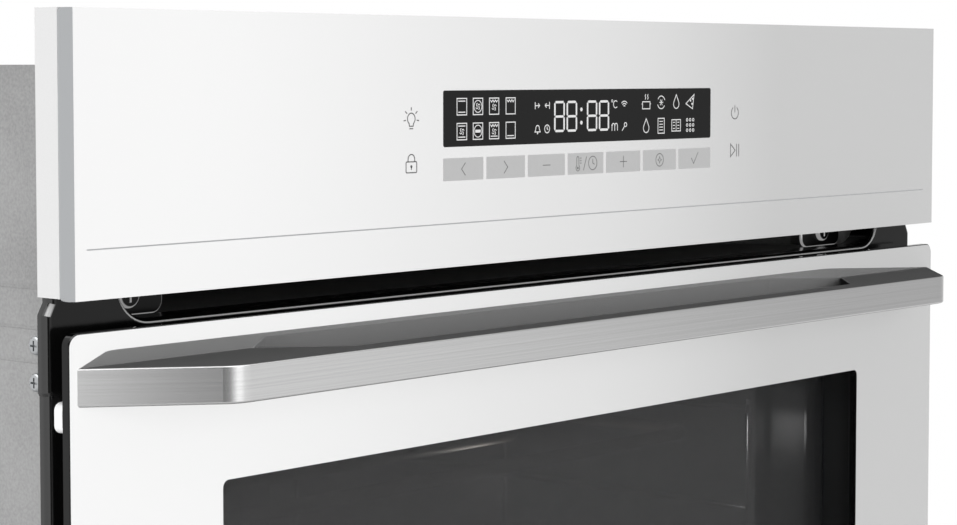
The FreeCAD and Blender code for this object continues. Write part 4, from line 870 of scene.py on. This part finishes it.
# The small status signs round the digits.
small_x = (COLON_X - 30.3, COLON_X - 23.8)
small_z = (digit_middle + 4.9, digit_middle - 5.2)
for x, way in ((small_x[0], 1), (small_x[1], -1)):
    segments.line([(x - way * 1.6, small_z[0] - 1.5), (x - way * 1.6, small_z[0] + 1.5)], SYMBOL_LINE)
    segments.line([(x - way * 1.6, small_z[0]), (x + way * 1.2, small_z[0])], SYMBOL_LINE)
    tail, tip = x + way * 0.4, x + way * 1.4
    segments.line([(tail, small_z[0] + 0.9), (tip, small_z[0]), (tail, small_z[0] - 0.9)], SYMBOL_LINE)
segments.line(
    [(small_x[0] - 1.8, small_z[1] - 1.2)]
    + arc(small_x[0], small_z[1] + 0.4, 1.2, 190, -10, 8)
    + [(small_x[0] + 1.8, small_z[1] - 1.2)],
    SYMBOL_LINE,
    True,
)
segments.fill(circle(small_x[0], small_z[1] - 1.8, 0.4))
clock(segments, small_x[1], small_z[1], 3.4, SYMBOL_LINE)
unit_x = (COLON_X + 24.0, COLON_X + 31.0)
segments.line(circle(unit_x[0] - 1.9, small_z[0] + 1.5, 0.5), SYMBOL_LINE * 0.7, True)
segments.line(arc(unit_x[0] + 0.6, small_z[0], 1.6, 45, 315, 10), SYMBOL_LINE)
for reach in (0.9, 1.9, 2.9):
    segments.line(arc(unit_x[1], small_z[0] - 1.6, reach, 45, 135, 6), SYMBOL_LINE)
segments.line(
    [(unit_x[0] - 2.0, small_z[1] - 1.7), (unit_x[0] - 2.0, small_z[1] + 0.6)]
    + arc(unit_x[0] - 1.0, small_z[1] + 0.6, 1.0, 180, 0, 5)
    + [(unit_x[0], small_z[1] - 1.7)],
    SYMBOL_LINE,
)
segments.line(
    [(unit_x[0], small_z[1] + 0.6)]
    + arc(unit_x[0] + 1.0, small_z[1] + 0.6, 1.0, 180, 0, 5)
    + [(unit_x[0] + 2.0, small_z[1] - 1.7)],
    SYMBOL_LINE,
)
segments.line([(unit_x[1] - 1.6, small_z[1] - 1.8), (unit_x[1] + 0.2, small_z[1] + 0.2)], SYMBOL_LINE)
segments.line(circle(unit_x[1] + 0.9, small_z[1] + 0.9, 0.9), SYMBOL_LINE, True)

# The programme signs on the right: pot, defrost, bakery, slice, drop, list, book, grid.
group_x = [COLON_X + 47.4 + step for step in (0.0, 11.4, 23.0, 34.0)]
group_z = (digit_middle + 5.4, digit_middle - 5.3)


def drop_sign(ink, x, z):
    ink.line(arc(x, z - 0.8, 2.1, 150, 390, 14) + [(x, z + 3.4)], SYMBOL_LINE, True)


def pot_sign(ink, x, z):
    pot = [(x - 2.8, z + 0.4), (x - 2.8, z - 2.8), (x + 2.8, z - 2.8), (x + 2.8, z + 0.4)]
    ink.line(pot, SYMBOL_LINE, True)
    ink.line([(x - 3.5, z - 0.6), (x - 2.8, z - 0.6)], SYMBOL_LINE)
    ink.line([(x + 2.8, z - 0.6), (x + 3.5, z - 0.6)], SYMBOL_LINE)
    for step in (-0.9, 0.9):
        left, right = x + step, x + step + 0.5
        ink.line([(left, z + 1.4), (right, z + 2.2), (left, z + 3.0), (right, z + 3.8)], SYMBOL_LINE)


def swirl_sign(ink, x, z):
    for start in (20, 200):
        ink.line(arc(x, z, 2.9, start, start + 130, 10), SYMBOL_LINE)
    for step in range(3):
        angle = math.radians(60 * step)
        reach = Vector((math.cos(angle), math.sin(angle))) * 1.5
        ink.line([(x - reach.x, z - reach.y), (x + reach.x, z + reach.y)], SYMBOL_LINE * 0.8)


def slice_sign(ink, x, z):
    ink.line([(x - 3.4, z - 0.8), (x + 3.0, z + 3.4), (x + 1.8, z - 3.2)], SYMBOL_LINE, True)
    for point in ((x + 0.2, z + 0.6), (x + 1.4, z - 0.9), (x + 1.8, z + 1.4)):
        ink.fill(circle(point[0], point[1], 0.5))


def page_sign(ink, x, z):
    sheet = [(x - 2.4, z - 3.4), (x + 2.4, z - 3.4), (x + 2.4, z + 3.4), (x - 2.4, z + 3.4)]
    ink.line(sheet, SYMBOL_LINE, True)
    for step in range(4):
        level = z + 2.0 - step * 1.3
        ink.line([(x - 1.4, level), (x + 1.4, level)], SYMBOL_LINE * 0.9)


def book_sign(ink, x, z):
    for way in (-1, 1):
        edge_x = x + way * 3.4
        ink.line([(x, z - 2.6), (edge_x, z - 2.6), (edge_x, z + 2.6), (x, z + 2.6)], SYMBOL_LINE, True)
        for step in range(3):
            level = z + 1.4 - step * 1.4
            ink.line([(x + way * 0.9, level), (x + way * 2.5, level)], SYMBOL_LINE * 0.9)


def grid_sign(ink, x, z):
    for column in (-2.4, 0.0, 2.4):
        for row in (-2.4, 0.0, 2.4):
            ink.line(circle(x + column, z + row, 0.62), SYMBOL_LINE * 0.9, True)


pot_sign(segments, group_x[0], group_z[0])
swirl_sign(segments, group_x[1], group_z[0])
drop_sign(segments, group_x[2], group_z[0])
slice_sign(segments, group_x[3], group_z[0])
drop_sign(segments, group_x[0], group_z[1])
page_sign(segments, group_x[1], group_z[1])
book_sign(segments, group_x[2], group_z[1])
grid_sign(segments, group_x[3], group_z[1])
segments.finish("display_symbols", screen_ink("lit_symbol_ink", "#e4e4e4", 0.3, 0.25))

# ------------------------------------------------------------------ door glass
# The outer pane is float glass with a fired white border and a grey-tinted window in the middle. Two panes
# stand behind it; the inner one reflects heat and has a black border that hides the columns.

door_low, door_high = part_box("door_outer_glass")
WINDOW_HALF = 0.2226
WINDOW_SIDE_CORNER = 0.003
WINDOW_BORDER_TOP = 0.061
WINDOW_BORDER_BOTTOM = 0.076
PANE_CORNER = 0.0045
PANE_BEVEL = 0.0004


def plate_with_hole(name, outer, inner, front, back, bevel):
    """A flat plate between an outline and a hole with as many points, its outer edges slightly broken."""
    middle = Vector((sum(p[0] for p in outer) / len(outer), sum(p[1] for p in outer) / len(outer)))

    def shrunk(points, amount):
        kept = []
        for x, z in points:
            away = Vector((x, z)) - middle
            kept.append((x - math.copysign(amount, away.x), z - math.copysign(amount, away.y)))
        return kept

    loops = [
        (inner, front),
        (shrunk(outer, bevel), front),
        (outer, front + bevel),
        (outer, back - bevel),
        (shrunk(outer, bevel), back),
        (inner, back),
    ]
    sheet = bmesh.new()
    rings = [[sheet.verts.new((x, y, z)) for x, z in points] for points, y in loops]
    for index, ring in enumerate(rings):
        after = rings[(index + 1) % len(rings)]
        for step in range(len(ring)):
            on = (step + 1) % len(ring)
            sheet.faces.new((ring[step], ring[on], after[on], after[step]))
    bmesh.ops.recalc_face_normals(sheet, faces=sheet.faces)
    data = bpy.data.meshes.new(name)
    sheet.to_mesh(data)
    sheet.free()
    piece = bpy.data.objects.new(name, data)
    bpy.context.scene.collection.objects.link(piece)
    return piece


def solid_plate(name, outline, front, back):
    sheet = bmesh.new()
    first = [sheet.verts.new((x, front, z)) for x, z in outline]
    second = [sheet.verts.new((x, back, z)) for x, z in outline]
    sheet.faces.new(first)
    sheet.faces.new(second[::-1])
    for step in range(len(outline)):
        on = (step + 1) % len(outline)
        sheet.faces.new((first[step], first[on], second[on], second[step]))
    bmesh.ops.recalc_face_normals(sheet, faces=sheet.faces)
    data = bpy.data.meshes.new(name)
    sheet.to_mesh(data)
    sheet.free()
    piece = bpy.data.objects.new(name, data)
    bpy.context.scene.collection.objects.link(piece)
    return piece


window_low = door_low.z + WINDOW_BORDER_BOTTOM
window_high = door_high.z - WINDOW_BORDER_TOP
pane_outline = rounded_rectangle(door_low.x, door_high.x, door_low.z, door_high.z, PANE_CORNER, 8)
window_outline = rounded_rectangle(-WINDOW_HALF, WINDOW_HALF, window_low, window_high, WINDOW_SIDE_CORNER, 8)
door_pane = plate_with_hole("door_pane", pane_outline, window_outline, door_low.y, door_high.y, PANE_BEVEL)
# The pane's outer edges and the walls of its window take a near-black painted shade.
door_pane.data.materials.append(white_enamelled_glass("white_enamelled_door_glass_with_painted_edge_shade", "#0b0c0c", 0.95, 0.8))
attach(door_pane, "door")
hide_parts("door_outer_glass")


def tinted_glass(name, code, alpha, specular):
    """Tinted float glass: a dark film over what lies behind it, with a sharp reflection."""
    material, tree, place = start_material(name)
    waver = add_node(tree, "ShaderNodeTexNoise", {"Vector": place, "Scale": 2.5, "Detail": 1.0})
    bump = add_node(
        tree, "ShaderNodeBump", {"Height": waver.outputs["Fac"], "Strength": 0.02, "Distance": 0.001}
    )
    inputs = {
        "Base Color": colour(code),
        "Roughness": 0.02,
        "IOR": 1.5,
        "Alpha": alpha,
        "Specular IOR Level": specular,
        "Normal": bump.outputs["Normal"],
    }
    return end_material(material, inputs)


WINDOW_FIT = 0.00002
fitted = rounded_rectangle(
    -WINDOW_HALF + WINDOW_FIT,
    WINDOW_HALF - WINDOW_FIT,
    window_low + WINDOW_FIT,
    window_high - WINDOW_FIT,
    WINDOW_SIDE_CORNER,
    8,
)
door_window = solid_plate("door_window", fitted, door_low.y, door_high.y)
door_window.data.materials.append(tinted_glass("grey_tinted_window", "#0b0b0c", 0.15, 0.05))
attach(door_window, "door")
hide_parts("door_outer_glass")

clear_pane = tinted_glass("clear_float_glass", "#20262a", 0.06, 0.05)
finish_nodes(clear_pane, "door_middle_glass", "lamp_glass", "lamp_bulb")
finish_nodes(tinted_glass("heat_reflecting_glass", "#878787", 0.5, 1.0), "door_inner_glass")

BORDER_WIDTH = 0.028
BORDER_FOOT = 0.045
BORDER_CORNER = 0.012
inner_low, inner_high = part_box("door_inner_glass")
border_outline = rounded_rectangle(
    inner_low.x + 0.001, inner_high.x - 0.001, inner_low.z + 0.001, inner_high.z - 0.001, 0.005, 4
)
sight_outline = rounded_rectangle(
    inner_low.x + BORDER_WIDTH,
    inner_high.x - BORDER_WIDTH,
    inner_low.z + BORDER_FOOT,
    inner_high.z - BORDER_WIDTH,
    BORDER_CORNER,
    4,
)
border = plate_with_hole(
    "inner_glass_border", border_outline, sight_outline, inner_low.y - 0.00012, inner_low.y - 0.00002, 0.00001
)
border.data.materials.append(screen_ink("black_ceramic_ink", "#0a0a0a", 0.3))
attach(border, "door")

# ------------------------------------------------------------------ handle
# An aluminium extrusion, bent at both ends, brushed along its length and clear-anodised. The front shows soft
# stripes along the bar; the top and bottom faces and the back are painted darker as painted shade and lose
# the metal reflection.

BRUSH_PITCH = 0.0005
BRUSH_LENGTH = 0.125


def brushed_aluminium_with_painted_shade():
    material, tree, place = start_material("brushed_anodised_aluminium_with_painted_shade")
    stretched = add_node(
        tree,
        "ShaderNodeMapping",
        {"Vector": place, "Scale": (1 / BRUSH_LENGTH, 1 / BRUSH_LENGTH, 1 / BRUSH_PITCH)},
    )
    brush = add_node(
        tree, "ShaderNodeTexNoise", {"Vector": stretched.outputs["Vector"], "Scale": 1.0, "Detail": 3.0}
    )
    # Painted shade: faces turned up or down are mixed to mid grey and faces turned to the back to near black,
    # both without the metal's reflection.
    facing = add_node(tree, "ShaderNodeNewGeometry")
    parts = add_node(tree, "ShaderNodeSeparateXYZ", {"Vector": facing.outputs["Normal"]})
    flat = add_node(tree, "ShaderNodeMath", {0: parts.outputs["Z"]}, operation="ABSOLUTE")
    painted_shade_top_bottom = add_node(tree, "ShaderNodeMapRange", {"Value": flat.outputs[0], "From Min": 0.6, "From Max": 0.9})
    painted_shade_back = add_node(
        tree, "ShaderNodeMapRange", {"Value": parts.outputs["Y"], "From Min": 0.2, "From Max": 0.6}
    )
    tone = two_tones(tree, brush.outputs["Fac"], "#bdbdbd", "#d0d0d0")
    mixed = add_node(
        tree,
        "ShaderNodeMixRGB",
        {"Fac": painted_shade_top_bottom.outputs["Result"], "Color1": tone.outputs["Color"], "Color2": colour("#606060")},
    )
    coloured = add_node(
        tree,
        "ShaderNodeMixRGB",
        {"Fac": painted_shade_back.outputs["Result"], "Color1": mixed.outputs["Color"], "Color2": colour("#1c1c1c")},
    )
    plain = add_node(
        tree, "ShaderNodeMath", {0: painted_shade_top_bottom.outputs["Result"], 1: painted_shade_back.outputs["Result"]}, operation="MAXIMUM"
    )
    metal = add_node(tree, "ShaderNodeMapRange", {"Value": plain.outputs[0], "To Min": 1.0, "To Max": 0.0})
    bump = add_node(
        tree, "ShaderNodeBump", {"Height": brush.outputs["Fac"], "Strength": 0.06, "Distance": 0.0002}
    )
    inputs = {
        "Base Color": coloured.outputs["Color"],
        "Metallic": metal.outputs["Result"],
        "Roughness": 0.24,
        "Anisotropic": 0.9,
        "Tangent": add_node(tree, "ShaderNodeCombineXYZ", {"Z": 1.0}).outputs["Vector"],
        "Specular IOR Level": 0.0,
        "Normal": bump.outputs["Normal"],
    }
    return end_material(material, inputs)


finish_nodes(brushed_aluminium_with_painted_shade(), "handle_bar")

# ------------------------------------------------------------------ studio
# A pale round floor, a white room and soft lamps.

FLOOR_RADIUS = 0.85
FLOOR_PLACE = (0, 0.25, -0.001)
bpy.ops.mesh.primitive_circle_add(
    vertices=128, radius=FLOOR_RADIUS, fill_type="NGON", location=FLOOR_PLACE
)
floor = bpy.context.object
floor.name = "floor"


def pale_floor():
    material, tree, place = start_material("pale_floor")
    cloud = add_node(tree, "ShaderNodeTexNoise", {"Vector": place, "Scale": 1.5, "Detail": 3.0})
    tone = two_tones(tree, cloud.outputs["Fac"], "#f2f2f2", "#f6f6f6")
    return end_material(material, {"Base Color": tone.outputs["Color"], "Roughness": 0.7})


floor.data.materials.append(pale_floor())

# The room's brightness by compass direction, in degrees from the front towards the right.
ROOM_STEPS = (
    (-180, 1.0),
    (-39.5, 1.4),
    (-37, 0.2),
    (-35.5, 0.02),
    (-25, 0.02),
    (-14, 0.4),
    (4, 1.8),
    (14, 1.8),
    (26, 1.2),
    (36, 1.065),
    (43.0, 1.065),
    (45.7, 1.013),
    (49.3, 0.909),
    (52.8, 0.811),
    (56.3, 0.591),
    (75, 0.591),
    (110, 0.8),
    (180, 1.0),
)
# The grey panels in the room end a little below eye level, and the room is plain white under them.
PANELS_FROM = -0.28
PANELS_TO = -0.20
OVERHEAD_FROM = 0.6
OVERHEAD_TO = 0.75
OVERHEAD_LEVEL = 2.5
SOFT_FILL = 0.45


def room():
    world = bpy.data.worlds.new("studio_room")
    bpy.context.scene.world = world
    world.use_nodes = True
    tree = world.node_tree
    tree.nodes.clear()
    place = add_node(tree, "ShaderNodeTexCoord").outputs["Generated"]
    parts = add_node(tree, "ShaderNodeSeparateXYZ", {"Vector": place})
    front = add_node(tree, "ShaderNodeMath", {0: parts.outputs["Y"], 1: -1.0}, operation="MULTIPLY")
    turn = add_node(tree, "ShaderNodeMath", {0: parts.outputs["X"], 1: front.outputs[0]}, operation="ARCTAN2")
    share = add_node(
        tree,
        "ShaderNodeMapRange",
        {"Value": turn.outputs[0], "From Min": -math.pi, "From Max": math.pi},
    )
    ramp = add_node(tree, "ShaderNodeValToRGB", {"Fac": share.outputs["Result"]})
    elements = ramp.color_ramp.elements
    while len(elements) > 1:
        elements.remove(elements[-1])
    brightest = max(level for _, level in ROOM_STEPS)
    for index, (degrees, level) in enumerate(ROOM_STEPS):
        position = (degrees + 180) / 360
        element = elements[0] if index == 0 else elements.new(position)
        element.position = position
        grey = level / brightest
        element.color = (grey, grey, grey, 1.0)
    below = add_node(
        tree,
        "ShaderNodeMapRange",
        {
            "Value": parts.outputs["Z"],
            "From Min": PANELS_FROM,
            "From Max": PANELS_TO,
            "To Min": 1.0,
            "To Max": 0.0,
        },
    )
    plain = 1.0 / brightest
    plain_grey = (plain, plain, plain, 1.0)
    around = add_node(
        tree,
        "ShaderNodeMixRGB",
        {"Fac": below.outputs["Result"], "Color1": ramp.outputs["Color"], "Color2": plain_grey},
    )
    overhead = add_node(
        tree,
        "ShaderNodeMapRange",
        {
            "Value": parts.outputs["Z"],
            "From Min": OVERHEAD_FROM,
            "From Max": OVERHEAD_TO,
            "To Min": 0.0,
            "To Max": OVERHEAD_LEVEL,
        },
    )
    walls = add_node(tree, "ShaderNodeBackground", {"Color": around.outputs["Color"], "Strength": brightest})
    ceiling = add_node(tree, "ShaderNodeBackground", {"Strength": overhead.outputs["Result"]})
    mirrored = add_node(tree, "ShaderNodeAddShader", {0: walls.outputs[0], 1: ceiling.outputs[0]})
    soft = add_node(tree, "ShaderNodeBackground", {"Color": (1.0, 1.0, 1.0, 1.0), "Strength": SOFT_FILL})
    seen = add_node(tree, "ShaderNodeBackground", {"Color": (1.0, 1.0, 1.0, 1.0), "Strength": 1.0})
    path = add_node(tree, "ShaderNodeLightPath")
    lit = add_node(
        tree,
        "ShaderNodeMixShader",
        {0: path.outputs["Is Glossy Ray"], 1: soft.outputs[0], 2: mirrored.outputs[0]},
    )
    chosen = add_node(
        tree, "ShaderNodeMixShader", {0: path.outputs["Is Camera Ray"], 1: lit.outputs[0], 2: seen.outputs[0]}
    )
    add_node(tree, "ShaderNodeOutputWorld", {"Surface": chosen.outputs[0]})


room()


def softbox(name, place, target, width, height, power):
    """A large diffuse lamp that lights without showing in mirrors."""
    lamp_data = bpy.data.lights.new(name, "AREA")
    lamp_data.shape = "RECTANGLE"
    lamp_data.size = width
    lamp_data.size_y = height
    lamp_data.energy = power
    lamp = bpy.data.objects.new(name, lamp_data)
    lamp.location = place
    lamp.rotation_euler = (Vector(target) - Vector(place)).to_track_quat("-Z", "Y").to_euler()
    lamp.visible_glossy = False
    lamp.visible_camera = False
    bpy.context.scene.collection.objects.link(lamp)


softbox("front_softbox", (-0.3, -3.4, 1.1), (0.0, 0.0, 0.35), 2.4, 1.8, 42.0)
softbox("side_softbox", (-3.4, 0.9, 0.9), (-0.3, 0.2, 0.4), 2.0, 1.8, 78.0)

# A faint point of light stands in for the lamp inside the cavity.
cavity_light = bpy.data.lights.new("cavity_light", "POINT")
cavity_light.energy = 0.09
cavity_light.shadow_soft_size = 0.012
cavity_lamp = bpy.data.objects.new("cavity_lamp", cavity_light)
cavity_lamp.location = (0.1, 0.12, 0.36)
bpy.context.scene.collection.objects.link(cavity_lamp)

camera_data = bpy.data.cameras.new("camera")
camera = bpy.data.objects.new("camera", camera_data)
bpy.context.scene.collection.objects.link(camera)
camera.location = (-0.842, -0.678, 0.573)
CAMERA_YAW = 49.25
CAMERA_PITCH = -3.42
camera.rotation_euler = (math.radians(90 + CAMERA_PITCH), 0, math.radians(-CAMERA_YAW))
camera_data.sensor_width = 36.0
camera_data.lens = 90.97
camera_data.shift_y = -0.05
camera_data.clip_start = 0.01
camera_data.clip_end = 50.0
bpy.context.scene.camera = camera

bpy.context.scene.view_settings.view_transform = "Standard"
